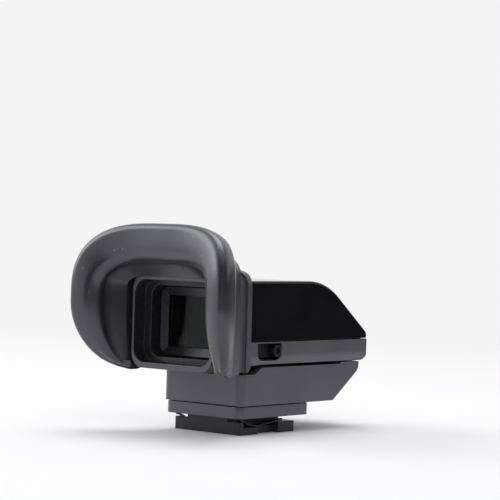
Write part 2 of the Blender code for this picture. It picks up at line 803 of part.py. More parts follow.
def ear_slots(name, box):
    """One cutter for the slot on each side that a base ear stands in."""
    made = []
    for side in (-1, 1):
        low, high = box()
        xs = sorted((side * (ear_inner - SLOT_CLEARANCE), side * (ear_outer + SLOT_CLEARANCE)))
        made.append(block(name, (xs[0], *low), (xs[1], *high)))
    return made


def base_slot_box():
    """Where the base's roof opens for an ear, as low and high (y, z)."""
    front = base_front - BASE_WALL
    rear = front - BASE_EAR_FOOT_LENGTH - SLIDE_GAP
    return (rear, base_top - BASE_WALL - OVERRUN), (front, base_top + OVERRUN)


def flex_slot():
    """Cutter for the slot in the base's roof that the flex circuit passes through."""
    low, high = base_slot_box()
    half = FLEX_WIDTH / 2 + SLIDE_GAP
    return block("base_flex_slot", (-half, *low), (half, *high))


def head_slot_box():
    """Where the head's lower front corner opens for an ear, as low and high (y, z)."""
    rear = base_front - BASE_WALL - BASE_EAR_FOOT_LENGTH - SLOT_CLEARANCE
    top = hinge_z + EAR_RADIUS + SLOT_CLEARANCE
    return (rear, head_bottom - OVERRUN), (head_front + OVERRUN, top)


def ear_outline():
    """A base ear as (y, z) points: a stem from the base's roof, and a round eye about the hinge axis."""
    front = base_front - BASE_WALL - SLIDE_GAP
    rear = front - BASE_EAR_FOOT_LENGTH + SLIDE_GAP
    low = bracket_top
    centre = (hinge_y, hinge_z)
    lean = hinge_pad_top + SLIDE_GAP
    front_touch = tangent_angle((front, lean), centre, EAR_RADIUS, 1)
    rear_touch = tangent_angle((rear, low), centre, EAR_RADIUS, -1)
    if rear_touch < front_touch:
        rear_touch += 2 * math.pi
    outline = [(rear, low), (front, low), (front, lean)]
    return outline + arc(centre, EAR_RADIUS, front_touch, rear_touch, 2 * ARC_STEPS)


def make_hinge():
    """The friction hinge: a fixed bracket with two ears, a shaft, washers, nuts and the head's bracket."""
    centre = (hinge_y, hinge_z)
    bore = arc(centre, SHAFT_RADIUS + PIN_GAP, 0, 2 * math.pi, ROUND_SIDES)[:-1]
    ears = []
    for side in (-1, 1):
        xs = sorted((side * ear_inner, side * ear_outer))
        ears.append(slab("base_ear", [ear_outline(), bore], xs[0], xs[1], "X"))
    front = base_front - BASE_WALL - SLIDE_GAP
    bar = block(
        "hinge_base_bracket",
        (-ear_outer, front - BRACKET_LENGTH, bracket_top - BRACKET_THICKNESS),
        (ear_outer, front - BASE_EAR_FOOT_LENGTH / 2, bracket_top + MERGE_DISTANCE),
        bright_steel,
    )
    flex_half = FLEX_WIDTH / 2 + SLIDE_GAP
    flex_room = block(
        "bracket_flex_slot",
        (-flex_half, front - BASE_EAR_FOOT_LENGTH, bracket_top - BRACKET_THICKNESS - OVERRUN),
        (flex_half, front + OVERRUN, bracket_top + OVERRUN),
    )
    stems = []
    for side in (-1, 1):
        xs = sorted((side * ear_inner, side * ear_outer))
        stems.append(
            block(
                "ear_stem",
                (xs[0], front - BASE_EAR_FOOT_LENGTH + SLIDE_GAP, bracket_top - BRACKET_THICKNESS),
                (xs[1], front, bracket_top + MERGE_DISTANCE),
            )
        )
    join(bar, *stems, *ears)
    cut(bar, flex_room)

    rod("hinge_shaft", SHAFT_RADIUS, (-shaft_half, *centre), (shaft_half, *centre), bright_steel)
    ear_outside = ear_outer + PIN_GAP
    washer_profile = [
        (SHAFT_RADIUS + PIN_GAP, WASHER_THICKNESS),
        (NUT_RADIUS, WASHER_THICKNESS),
        (NUT_RADIUS, 0),
        (SHAFT_RADIUS + PIN_GAP, 0),
    ]
    washer = turned("hinge_washer", washer_profile, (0, 0, 0), (1, 0, 0), bright_steel)
    copies(washer, [(ear_outside, *centre), (-ear_outside - WASHER_THICKNESS, *centre)])
    nut_inside = ear_outside + WASHER_THICKNESS + PIN_GAP
    nut_profile = [
        (SHAFT_RADIUS + PIN_GAP, NUT_THICKNESS),
        (NUT_RADIUS, NUT_THICKNESS),
        (NUT_RADIUS, 0),
        (SHAFT_RADIUS + PIN_GAP, 0),
    ]
    nut = turned("hinge_nut", nut_profile, (0, 0, 0), (1, 0, 0), bright_steel, SCREW_SIDES)
    copies(nut, [(nut_inside, *centre), (-nut_inside - NUT_THICKNESS, *centre)])

    low = head_floor + SEAT_GAP
    rear = hinge_y - HINGE_CORNER_RADIUS - BRACKET_LENGTH
    head_ear_outer = ear_inner - EAR_GAP
    head_ear_inner = head_ear_outer - EAR_THICKNESS
    bracket = block(
        "hinge_head_bracket",
        (-head_ear_outer, rear, low),
        (head_ear_outer, hinge_y - 2 * HEAD_EAR_RADIUS, low + BRACKET_THICKNESS),
        bright_steel,
    )
    head_ears = []
    stem_rear = hinge_y - 2 * HEAD_EAR_RADIUS - BRACKET_THICKNESS
    outline = [(stem_rear, low + BRACKET_THICKNESS / 2), (hinge_y, hinge_z - HEAD_EAR_RADIUS)]
    outline += arc(centre, HEAD_EAR_RADIUS, -math.pi / 2, math.pi / 2, ARC_STEPS)[1:]
    outline += [(stem_rear, hinge_z + HEAD_EAR_RADIUS)]
    for side in (-1, 1):
        xs = sorted((side * head_ear_inner, side * head_ear_outer))
        head_ears.append(slab("head_ear", [outline, bore], xs[0], xs[1], "X"))
    join(bracket, *head_ears)
    notch_rear = head_slot_box()[0][0]
    notch_half = FLEX_WIDTH / 2 + SLOT_CLEARANCE
    notch_top = low + BRACKET_THICKNESS + OVERRUN
    notch = block(
        "bracket_notch", (-notch_half, notch_rear, low - OVERRUN), (notch_half, hinge_y, notch_top)
    )
    cut(bracket, *[screw_way(place) for place in head_screw_places()[2:]], notch)
    return bracket


def lower_profile():
    """Side outline of the head's lower shell, carried up past its tongue, as (y, z) points."""
    centre = (hinge_y, hinge_z)
    top = tongue_top + 2 * OVERRUN
    rear = head_rear - 2 * OVERRUN
    band_end = head_rear + REAR_BAND_LENGTH
    outline = [(rear, head_bottom - REAR_BAND_DROP), (band_end, head_bottom - REAR_BAND_DROP)]
    outline += [(band_end + REAR_BAND_RAMP, head_bottom)]
    outline += arc(centre, HINGE_CORNER_RADIUS, -math.pi / 2, 0)
    outline += [(head_front, top), (rear, top)]
    return outline


def lower_section():
    """Cross-section of the head's lower shell as (x, z) points, tucked in towards its bottom."""
    low = head_bottom - REAR_BAND_DROP
    top = tongue_top + 3 * OVERRUN
    radius = (LOWER_TUCK**2 + LOWER_TUCK_HEIGHT**2) / (2 * LOWER_TUCK)
    turn = math.asin(LOWER_TUCK_HEIGHT / radius)
    right = arc((half_body - radius, low + LOWER_TUCK_HEIGHT), radius, -turn, 0) + [(half_body, top)]
    return right + [(-x, z) for x, z in reversed(right)]


def lower_hollow_profile():
    """Side outline of the hollow in the head's lower shell, up to the root of its tongue."""
    centre = (hinge_y, hinge_z)
    rear = head_rear - OVERRUN
    top = tongue_root
    outline = [(rear, head_floor)]
    outline += arc(centre, HINGE_CORNER_RADIUS - HEAD_WALL, -math.pi / 2, 0)
    outline += [(head_front - HEAD_WALL, top), (rear, top)]
    return outline


def cover_profile(inset=0.0):
    """Side outline of the top cover as (y, z) points; an inset gives the hollow inside it."""
    low = cover_bottom - 2 * OVERRUN if inset == 0 else cover_bottom - OVERRUN
    rear = head_rear - 2 * OVERRUN if inset == 0 else head_rear - OVERRUN
    front = head_front - COVER_NOSE_SETBACK / 2 - inset
    top = cover_top - inset
    centre = (head_rear + COVER_TOP_LENGTH, cover_top - COVER_CURVE_RADIUS)
    radius = COVER_CURVE_RADIUS - inset
    nose = (front - COVER_NOSE_SETBACK, cover_bottom + COVER_NOSE_HEIGHT)
    touch = tangent_angle(nose, centre, radius, 1)
    outline = [(rear, low), (front, low), (front, nose[1] - COVER_NOSE_SETBACK), nose]
    outline += arc(centre, radius, touch, math.pi / 2, 2 * ARC_STEPS)
    outline += [(rear, top)]
    return outline


def make_head_shells():
    """The head's satin lower shell with the lever's window and hinge slots, and its gloss top cover."""
    lower = slab("head_lower_housing", [lower_profile()], -half_body, half_body, "X", satin_black)
    section = slab(
        "lower_section",
        [lower_section()],
        head_rear - 3 * OVERRUN,
        head_front + OVERRUN,
        "Y",
    )
    bevel(section, LOWER_SHELL_EDGE)
    footprint = slab(
        "head_footprint",
        [rounded_rectangle(half_body, head_rear - 3 * OVERRUN, head_front, COVER_EDGE)],
        head_bottom - OVERRUN,
        tongue_top + 3 * OVERRUN,
        "Z",
    )
    combine(lower, "INTERSECT", [section, footprint])
    hollow = slab("lower_hollow", [lower_hollow_profile()], -inner_half, inner_half, "X")
    wide = half_body + OVERRUN
    above = block(
        "above_tongue",
        (-wide, head_rear - 3 * OVERRUN, tongue_top),
        (wide, head_front + OVERRUN, tongue_top + 3 * OVERRUN),
    )
    behind = block(
        "behind_lower",
        (-wide, head_rear - 3 * OVERRUN, head_bottom - REAR_BAND_DROP - OVERRUN),
        (wide, head_rear, tongue_top + OVERRUN),
    )
    upper_hollow = slab(
        "upper_hollow",
        [tongue_hollow_outline()],
        tongue_root - OVERRUN,
        tongue_top + OVERRUN,
        "Z",
    )
    far_rear = head_rear - 6 * OVERRUN
    far_front = head_front + OVERRUN
    around = [(-wide, far_rear), (wide, far_rear), (wide, far_front), (-wide, far_front)]
    seam_step = slab(
        "seam_step",
        [around, tongue_outline()],
        seam_level,
        tongue_top + OVERRUN,
        "Z",
    )
    window = slab(
        "lever_window",
        [lever_window_outline()],
        tongue_half - SEAM_TONGUE_WALL - OVERRUN,
        half_body + OVERRUN,
        "X",
    )
    flex_low, flex_high = head_slot_box()
    flex_half = FLEX_WIDTH / 2 + SLOT_CLEARANCE
    flex_way = block("head_flex_slot", (-flex_half, *flex_low), (flex_half, *flex_high))
    cut(lower, hollow, upper_hollow, seam_step, above, behind, window)
    cut(lower, *ear_slots("head_ear_slot", head_slot_box), flex_way)

    cover = slab("head_top_cover", [cover_profile()], -half_body, half_body, "X", gloss_black)
    bevel(cover, COVER_EDGE)
    cover_hollow = slab("cover_hollow", [cover_profile(HEAD_WALL)], -inner_half, inner_half, "X")
    under = block(
        "under_cover",
        (-wide, head_rear - 3 * OVERRUN, cover_bottom - 3 * OVERRUN),
        (wide, head_front + OVERRUN, cover_bottom),
    )
    behind_cover = block(
        "behind_cover",
        (-wide, head_rear - 3 * OVERRUN, cover_bottom - OVERRUN),
        (wide, head_rear, cover_top + OVERRUN),
    )
    cut(cover, cover_hollow, under, behind_cover)

    screw = make_screw("head_screw", HEAD_SCREW_LENGTH)
    places = head_screw_places()
    holes = [
        rod(
            "floor_screw_hole",
            SCREW_SHANK_RADIUS + PIN_GAP,
            (x, y, head_bottom - OVERRUN),
            (x, y, head_floor + OVERRUN),
            sides=SCREW_SIDES,
        )
        for x, y, _ in places
    ]
    sinks = [
        rod(
            "floor_screw_sink",
            SCREW_HEAD_RADIUS + PIN_GAP,
            (x, y, head_bottom - OVERRUN),
            (x, y, head_bottom + SCREW_RECESS + SCREW_HEAD_HEIGHT + PIN_GAP),
        )
        for x, y, _ in places
    ]
    cut(lower, *holes, *sinks)
    return [lower, cover, *copies(screw, places)]


def head_screw_places():
    """Where the head's floor screws go: two into the lens barrel, two into the hinge bracket."""
    level = head_bottom + SCREW_RECESS
    bracket_rear = hinge_y - HINGE_CORNER_RADIUS - BRACKET_LENGTH
    rows = (barrel_rear + BARREL_LENGTH / 2, bracket_rear + BOSS_RADIUS)
    across = barrel_half - SCREW_INSET
    return [(side * across, y, level) for y in rows for side in (-1, 1)]


def screw_way(place):
    """Cutter for a head screw's shank."""
    x, y, level = place
    top = level + HEAD_SCREW_LENGTH + OVERRUN / 2
    return rod("screw_way", SCREW_SHANK_RADIUS + PIN_GAP, (x, y, level), (x, y, top), sides=SCREW_SIDES)


def tongue_outline():
    """Outside plan of the tongue that stands behind the seam, as (x, y) points."""
    half = tongue_half
    return [(-half, tongue_rear), (half, tongue_rear), (half, tongue_front), (-half, tongue_front)]


def tongue_hollow_outline():
    """Plan of the hollow inside the tongue, widened at its rear for the frame's spigot."""
    half = tongue_half - SEAM_TONGUE_WALL
    front = tongue_front - SEAM_TONGUE_WALL
    rear = head_rear - OVERRUN
    right = [(inner_half, rear), (inner_half, tongue_rear), (half, tongue_rear), (half, front)]
    return right + [(-x, y) for x, y in reversed(right)]


def lever_window_outline():
    """The window in the lower shell's right wall, round at its sill and square above, as (y, z)."""
    radius = WINDOW_SLOT_RADIUS
    top = seam_level - WINDOW_SLOT_STRIP
    quarter = math.pi / 2
    outline = [(slot_front, top), (slot_rear, top)]
    outline += arc((slot_rear + radius, slot_sill + radius), radius, 2 * quarter, 3 * quarter)
    outline += arc((slot_front - radius, slot_sill + radius), radius, 3 * quarter, 4 * quarter)
    return outline


def frame_rectangle(half_width, height, radius):
    """A round-cornered rectangle about the optical axis, as (x, z) points."""
    return rounded_rectangle(half_width, optic_z - height / 2, optic_z + height / 2, radius)


def make_eyepiece():
    """The stepped eyepiece frame, the bevelled bezel inside it, and the window glass."""
    frame = slab(
        "eyepiece_frame",
        [frame_rectangle(frame_half, FRAME_HEIGHT, FRAME_CORNER_RADIUS)],
        frame_rear,
        frame_front,
        "Y",
        satin_black,
    )
    spigot_height = 2 * (optic_z - head_floor - SLIDE_GAP)
    spigot = slab(
        "frame_spigot",
        [frame_rectangle(inner_half - SLIDE_GAP, spigot_height, COVER_EDGE)],
        frame_front - OVERRUN,
        frame_front + SEAT_GAP + SPIGOT_DEPTH,
        "Y",
    )
    join(frame, spigot)
    recess = slab(
        "frame_recess",
        [frame_rectangle(recess_half, RECESS_HEIGHT, RECESS_CORNER_RADIUS)],
        frame_rear - OVERRUN,
        frame_rear + RECESS_DEPTH,
        "Y",
    )
    inner = slab(
        "frame_inner_recess",
        [frame_rectangle(inner_recess_half, INNER_RECESS_HEIGHT, INNER_RECESS_CORNER_RADIUS)],
        frame_rear + RECESS_DEPTH - OVERRUN,
        inner_recess_front,
        "Y",
    )
    tunnel = block(
        "light_tunnel",
        (-tunnel_half, frame_rear, optic_z - LIGHT_TUNNEL_HEIGHT / 2),
        (tunnel_half, frame_front + SPIGOT_DEPTH + OVERRUN, optic_z + LIGHT_TUNNEL_HEIGHT / 2),
    )
    cut(frame, recess, inner, tunnel)

    seat_half = inner_recess_half - SLIDE_GAP
    seat_height = INNER_RECESS_HEIGHT - 2 * SLIDE_GAP
    seat_radius = INNER_RECESS_CORNER_RADIUS
    bezel = slab(
        "window_bezel",
        [frame_rectangle(seat_half, seat_height, seat_radius)],
        bezel_rear,
        bezel_rear + BEZEL_DEPTH,
        "Y",
        satin_black,
    )
    sight = block(
        "bezel_sight",
        (-sight_half, bezel_rear - OVERRUN, optic_z - WINDOW_SIGHT_HEIGHT / 2),
        (sight_half, bezel_rear + BEZEL_DEPTH + OVERRUN, optic_z + WINDOW_SIGHT_HEIGHT / 2),
    )
    cut(bezel, sight, bezel_chamfer(seat_half, seat_height))

    window = slab(
        "eyepiece_window",
        [frame_rectangle(seat_half, seat_height, seat_radius)],
        window_rear,
        window_rear + WINDOW_THICKNESS,
        "Y",
        clear_glass,
    )
    return [frame, bezel, window]


def bezel_chamfer(seat_half, seat_height):
    """A tapered cutter that bevels the bezel from its outer edge down to the sight opening."""
    bm = bmesh.new()
    bmesh.ops.create_cube(bm, size=1.0)
    rear = bezel_rear - MERGE_DISTANCE
    front = bezel_rear + BEZEL_DEPTH - CONTACT_GAP
    rear_half = (seat_half - CONTACT_GAP, seat_height / 2 - CONTACT_GAP)
    front_half = (sight_half, WINDOW_SIGHT_HEIGHT / 2)
    for vert in bm.verts:
        half = rear_half if vert.co.y < 0 else front_half
        depth = rear if vert.co.y < 0 else front
        vert.co = (math.copysign(half[0], vert.co.x), depth, optic_z + math.copysign(half[1], vert.co.z))
    mesh = bpy.data.meshes.new("bezel_chamfer")
    bm.to_mesh(mesh)
    bm.free()
    return add_object("bezel_chamfer", mesh)


# Each ring of the arch-shaped eyecup pieces is given by six values: half width, height of its top above
# the optical axis, depth behind the cup's front edge at its sides and at its top, squareness of its
# upper corners, and the place of its lower tip as (half width, depth, drop below the optical axis).


def arch_point(ring, station):
    """A point on one half of an arch ring: station 0 is the top centre, 1 the widest point, 2 the tip."""
    half_width, top, side_depth, top_depth, squareness, tip = ring
    middle = CUP_MIDDLE_RISE
    if station <= 1:
        angle = math.pi / 2 * (1 - station)
        power = 2 / squareness
        x = half_width * math.cos(angle) ** power if angle < math.pi / 2 else 0.0
        z = middle + (top - middle) * math.sin(angle) ** power if angle > 0 else middle
        blend = math.cos(angle) ** 2 if angle < math.pi / 2 else 0.0
        depth = top_depth + (side_depth - top_depth) * blend
    else:
        angle = math.pi / 2 * (station - 1)
        power = 2 / CUP_LOWER_SQUARENESS
        fade = math.cos(angle) ** power if station < 2 else 0.0
        fall = math.sin(angle) ** power
        tip_half_width, tip_depth, tip_drop = tip
        x = tip_half_width + (half_width - tip_half_width) * fade
        z = middle - (middle + tip_drop) * fall
        depth = tip_depth + (side_depth - tip_depth) * max(1 - fall * fall, 0.0) ** CUP_SWEEP_POWER
    return x, frame_front - depth, optic_z + z


def arch_loft(name, rings, surface):
    """Loft an upside-down U through closed rings, as a half that a Mirror completes."""
    stations = [i / CUP_TOP_STEPS for i in range(CUP_TOP_STEPS)]
    stations += [1 + i / CUP_SIDE_STEPS for i in range(CUP_SIDE_STEPS + 1)]
    bm = bmesh.new()
    rows = [[bm.verts.new(arch_point(ring, station)) for ring in rings] for station in stations]
    for row, following in zip(rows, rows[1:]):
        for j in range(len(rings)):
            k = (j + 1) % len(rings)
            bm.faces.new((row[j], row[k], following[k], following[j]))
    tip = rows[-1]
    middle = bm.verts.new(sum((vert.co for vert in tip), Vector()) / len(tip))
    for j in range(len(rings)):
        k = (j + 1) % len(rings)
        bm.faces.new((tip[j], tip[k], middle))
    bmesh.ops.recalc_face_normals(bm, faces=bm.faces)
    mesh = bpy.data.meshes.new(name)
    bm.to_mesh(mesh)
    bm.free()
    mesh.shade_smooth()
    obj = add_object(name, mesh, surface)
    mirror = obj.modifiers.new("other_half", "MIRROR")
    mirror.merge_threshold = MERGE_DISTANCE
    mirror.use_clip = True
    return obj


# The hood's outer rings from its collar to its rim. Each row has shares of the reach back, the growth
# out and up, the collar's squareness, the tip's reach, the tip's lift and the tip's draw inwards.
HOOD_RING_SHARES = (
    (0.14, 0.07, 0.06, 1.00, 0.31, 0.00, 0.00),
    (0.28, 0.20, 0.22, 0.98, 0.54, 0.00, 0.00),
    (0.43, 0.40, 0.45, 0.91, 0.67, 0.17, 0.12),
    (0.55, 0.61, 0.66, 0.81, 0.77, 0.35, 0.25),
    (0.66, 0.80, 0.87, 0.66, 0.86, 0.52, 0.40),
    (0.78, 0.93, 1.00, 0.635, 0.95, 0.65, 0.55),
    (0.88, 0.965, 0.97, 0.545, 0.955, 0.78, 0.70),
    (0.97, 1.00, 1.00, 0.40, 0.94, 0.91, 0.85),
    (1.00, 0.89, 0.90, 0.405, 1.00, 1.00, 1.00),
)


def make_eyecup():
    """The eyecup: a stiff arch that slips over the eyepiece frame, and the flared rubber hood on it."""
    inner_half_width = frame_half + CUP_CLEARANCE
    inner_top = FRAME_HEIGHT / 2 + CUP_CLEARANCE
    outer_half_width = inner_half_width + CUP_BASE_WALL
    outer_top = inner_top + CUP_BASE_WALL
    flange_half_width = outer_half_width + CUP_FLANGE_RISE
    flange_top = outer_top + CUP_FLANGE_RISE
    tip_drop = CUP_TIP_DROP - CUP_TIP_LIFT / 2
    square = CUP_COLLAR_SQUARENESS

    def straight(half_width, top, depth):
        return half_width, top, depth, depth, square, (half_width, depth, tip_drop)

    base = arch_loft(
        "eyecup_base",
        [
            straight(inner_half_width, inner_top, 0),
            straight(flange_half_width, flange_top, 0),
            straight(flange_half_width, flange_top, CUP_FLANGE_DEPTH),
            straight(outer_half_width, outer_top, CUP_FLANGE_DEPTH),
            straight(outer_half_width, outer_top, CUP_BASE_DEPTH),
            straight(inner_half_width, inner_top, CUP_BASE_DEPTH),
        ],
        dull_black,
    )

    bore_half_width = outer_half_width + CUP_CLEARANCE
    bore_top = outer_top + CUP_CLEARANCE
    collar_half_width = bore_half_width + CUP_COLLAR_WALL
    rim_half_width = bore_half_width + CUP_RIM_SPREAD
    collar_top = bore_top + CUP_COLLAR_RISE
    start = CUP_FLANGE_DEPTH + CUP_GROOVE_DEPTH
    bore_end = CUP_BASE_DEPTH + CUP_CLEARANCE
    frame_depth = FRAME_DEPTH + CUP_CLEARANCE
    tip_half_width = inner_half_width
    reach = CUP_REACH - start
    tip_reach = CUP_TIP_REACH - start

    rings = [straight(collar_half_width, collar_top, start)]
    for back, out, up, squareness, tip_back, tip_lift, tip_draw in HOOD_RING_SHARES:
        depth = start + back * reach
        top_depth = depth - back * CUP_TOP_SETBACK
        half_width = collar_half_width + out * (rim_half_width - collar_half_width)
        top = collar_top + up * (CUP_RIM_TOP - collar_top)
        tip = (
            collar_half_width - tip_draw * CUP_TIP_DRAW,
            start + tip_back * tip_reach,
            CUP_TIP_DROP - tip_lift * CUP_TIP_LIFT,
        )
        rings.append((half_width, top, depth, top_depth, square * squareness, tip))
    throat_depth = frame_depth + CUP_CLEARANCE
    face_tip = tip_half_width + CUP_COLLAR_WALL
    lip_tip = tip_half_width + CUP_LIP_TIP_SPREAD
    lip_tip_depth = frame_depth - CUP_CLEARANCE / 2
    valley_tip_depth = frame_depth - CUP_CLEARANCE
    wall_tip_depth = (valley_tip_depth + frame_depth - 2 * CUP_CLEARANCE) / 2
    lifted = CUP_TIP_DROP - CUP_TIP_LIFT
    inside_rings = (
        (CUP_FACE_SPREAD, CUP_FACE_TOP, CUP_FACE_DEPTH, (face_tip, CUP_TIP_REACH, lifted)),
        (CUP_LIP_SPREAD, CUP_LIP_TOP, CUP_LIP_DEPTH, (lip_tip, lip_tip_depth, lifted)),
        (CUP_VALLEY_SPREAD, CUP_VALLEY_TOP, CUP_VALLEY_DEPTH, (lip_tip, valley_tip_depth, lifted)),
        (CUP_WALL_SPREAD, CUP_WALL_TOP, CUP_WALL_DEPTH, (tip_half_width, wall_tip_depth, lifted)),
    )
    for spread, top, depth, tip in inside_rings:
        rings.append((bore_half_width + spread, top, depth, depth, CUP_LIP_SQUARENESS, tip))
    throat_tip = (tip_half_width, frame_depth - 2 * CUP_CLEARANCE, tip_drop)
    bore_tip = (tip_half_width, bore_end + CUP_CLEARANCE, tip_drop)
    throat_half_width = bore_half_width + CUP_THROAT_SPREAD
    rings += [
        (throat_half_width, CUP_THROAT_TOP, throat_depth, frame_depth, square, throat_tip),
        (bore_half_width, bore_top, valley_tip_depth, frame_depth, square, bore_tip),
        straight(bore_half_width, bore_top, bore_end),
        straight(bore_half_width, bore_top, start),
    ]
    hood = arch_loft("eyecup_hood", rings, soft_rubber)
    return [base, hood]


def lens_profile(radius, thickness, edge):
    """A lens with two domed faces, as a turned profile about its middle."""
    dome = thickness / 2 - edge / 2
    steps = ARC_STEPS - 1
    upper = [
        (radius * i / steps, edge / 2 + dome * (1 - (i / steps) ** 2)) for i in range(steps + 1)
    ]
    lower = [(x, -z) for x, z in reversed(upper)]
    return upper + lower


def ring_profile(outer, inner, length):
    """A plain ring as a turned profile."""
    return [(inner, length / 2), (outer, length / 2), (outer, -length / 2), (inner, -length / 2)]


def make_lens_group():
    """The fixed barrel, and the carrier that slides in it with three lenses and their rings."""
    barrel = block(
        "lens_barrel",
        (-barrel_half, barrel_rear, optic_z - BARREL_HEIGHT / 2),
        (barrel_half, barrel_front, optic_z + BARREL_HEIGHT / 2),
        dull_black,
    )
    channel = block(
        "barrel_channel",
        (-channel_half, barrel_rear - OVERRUN, optic_z - channel_rise),
        (channel_half, barrel_front + OVERRUN, optic_z + channel_rise),
    )
    pin_room = LEVER_PIN_RADIUS + FORK_CLEARANCE
    pin_window = block(
        "barrel_pin_window",
        (channel_half - OVERRUN, fork_y - lens_travel - 2 * pin_room, fork_z - FORK_HEIGHT / 2),
        (barrel_half + OVERRUN, fork_y + 2 * pin_room, fork_z + FORK_HEIGHT / 2),
    )
    cut(barrel, channel, pin_window, *[screw_way(place) for place in head_screw_places()[:2]])

    carrier = block(
        "lens_carrier",
        (-carrier_half, carrier_rear, optic_z - carrier_rise),
        (carrier_half, carrier_front, optic_z + carrier_rise),
        dull_black,
    )
    bore = rod(
        "carrier_bore",
        carrier_bore,
        (0, carrier_rear - OVERRUN, optic_z),
        (0, carrier_front + OVERRUN, optic_z),
        sides=LENS_SIDES,
    )
    fork = block(
        "carrier_fork",
        (carrier_half - FORK_DEPTH, fork_y - pin_room, fork_z - FORK_HEIGHT / 2),
        (carrier_half + OVERRUN, fork_y + pin_room, fork_z + FORK_HEIGHT / 2),
    )
    cut(carrier, bore, fork)

    moving = [carrier]
    forward = (0, 1, 0)
    lens_rear = carrier_rear + LENS_RING_LENGTH + LENS_GAP
    lenses = (
        ("rear_lens", REAR_LENS_THICKNESS),
        ("middle_lens", MIDDLE_LENS_THICKNESS),
        ("front_lens", FRONT_LENS_THICKNESS),
    )
    for name, thickness in lenses:
        profile = lens_profile(lens_radius, thickness, LENS_EDGE)
        centre = (0, lens_rear + thickness / 2, optic_z)
        moving.append(turned(name, profile, centre, forward, clear_glass, LENS_SIDES))
        lens_rear += thickness + LENS_GAP
    retainers = (("rear_retainer", carrier_rear), ("front_retainer", carrier_front - LENS_RING_LENGTH))
    for name, rear in retainers:
        profile = ring_profile(lens_radius, lens_radius - LENS_RING_WALL, LENS_RING_LENGTH)
        centre = (0, rear + LENS_RING_LENGTH / 2, optic_z)
        moving.append(turned(name, profile, centre, forward, dull_black, LENS_SIDES))
    return [barrel], moving


def make_lever():
    """The focusing lever: a plate that hangs from a pivot, with a shield, a knob and a drive pin."""
    pivot = (pivot_y, pivot_z)
    down = -math.pi / 2
    knob_angle = down + lever_half_swing
    inner = LEVER_SHIELD_INNER
    outer = LEVER_SHIELD_INNER + LEVER_SHIELD_WIDTH
    shield_rear = down - lever_half_swing
    shield_front = down + 3 * lever_half_swing
    shield = arc(pivot, outer, shield_rear, shield_front, 2 * ARC_STEPS)
    shield += arc(pivot, inner, shield_front, shield_rear, 2 * ARC_STEPS)
    plate = slab("diopter_lever", [shield], lever_inner, lever_outer, "X", dull_black)
    side = Vector((math.cos(knob_angle + math.pi / 2), math.sin(knob_angle + math.pi / 2)))
    along = Vector((math.cos(knob_angle), math.sin(knob_angle)))
    hub = Vector(pivot)
    arm_half = LEVER_BOSS_RADIUS
    foot = hub + along * (inner + LEVER_SHIELD_WIDTH / 2)
    arm_outline = [
        tuple(foot - side * arm_half),
        tuple(foot + side * arm_half),
        tuple(hub + side * arm_half),
    ]
    arm_outline += arc(pivot, arm_half, knob_angle + math.pi / 2, knob_angle + 3 * math.pi / 2)[1:]
    arm = slab("lever_arm", [arm_outline], lever_inner, lever_outer, "X")
    knob_outside = half_body + KNOB_STANDOUT
    lever_middle = (lever_inner + lever_outer) / 2
    knob = rod(
        "lever_knob", KNOB_RADIUS, (lever_middle, knob_y, knob_z), (knob_outside, knob_y, knob_z)
    )
    pin_inside = carrier_half - FORK_DEPTH + SLIDE_GAP
    pin = rod(
        "lever_pin",
        LEVER_PIN_RADIUS,
        (pin_inside, fork_y, fork_z),
        (lever_middle, fork_y, fork_z),
    )
    join(plate, arm, knob, pin)
    hollow = rod(
        "knob_hollow",
        KNOB_HOLLOW_RADIUS,
        (knob_outside - KNOB_HOLLOW_DEPTH, knob_y, knob_z),
        (knob_outside + OVERRUN, knob_y, knob_z),
    )
    bore = rod(
        "lever_bore",
        PIVOT_RADIUS + PIN_GAP,
        (lever_inner - OVERRUN, *pivot),
        (lever_outer + OVERRUN, *pivot),
    )
    cut(plate, hollow, bore)
    pivot_inside = barrel_half + CONTACT_GAP
    post = rod(
        "lever_pivot_pin",
        PIVOT_RADIUS,
        (pivot_inside, *pivot),
        (inner_half - CONTACT_GAP, *pivot),
        bright_steel,
    )
    return plate, post


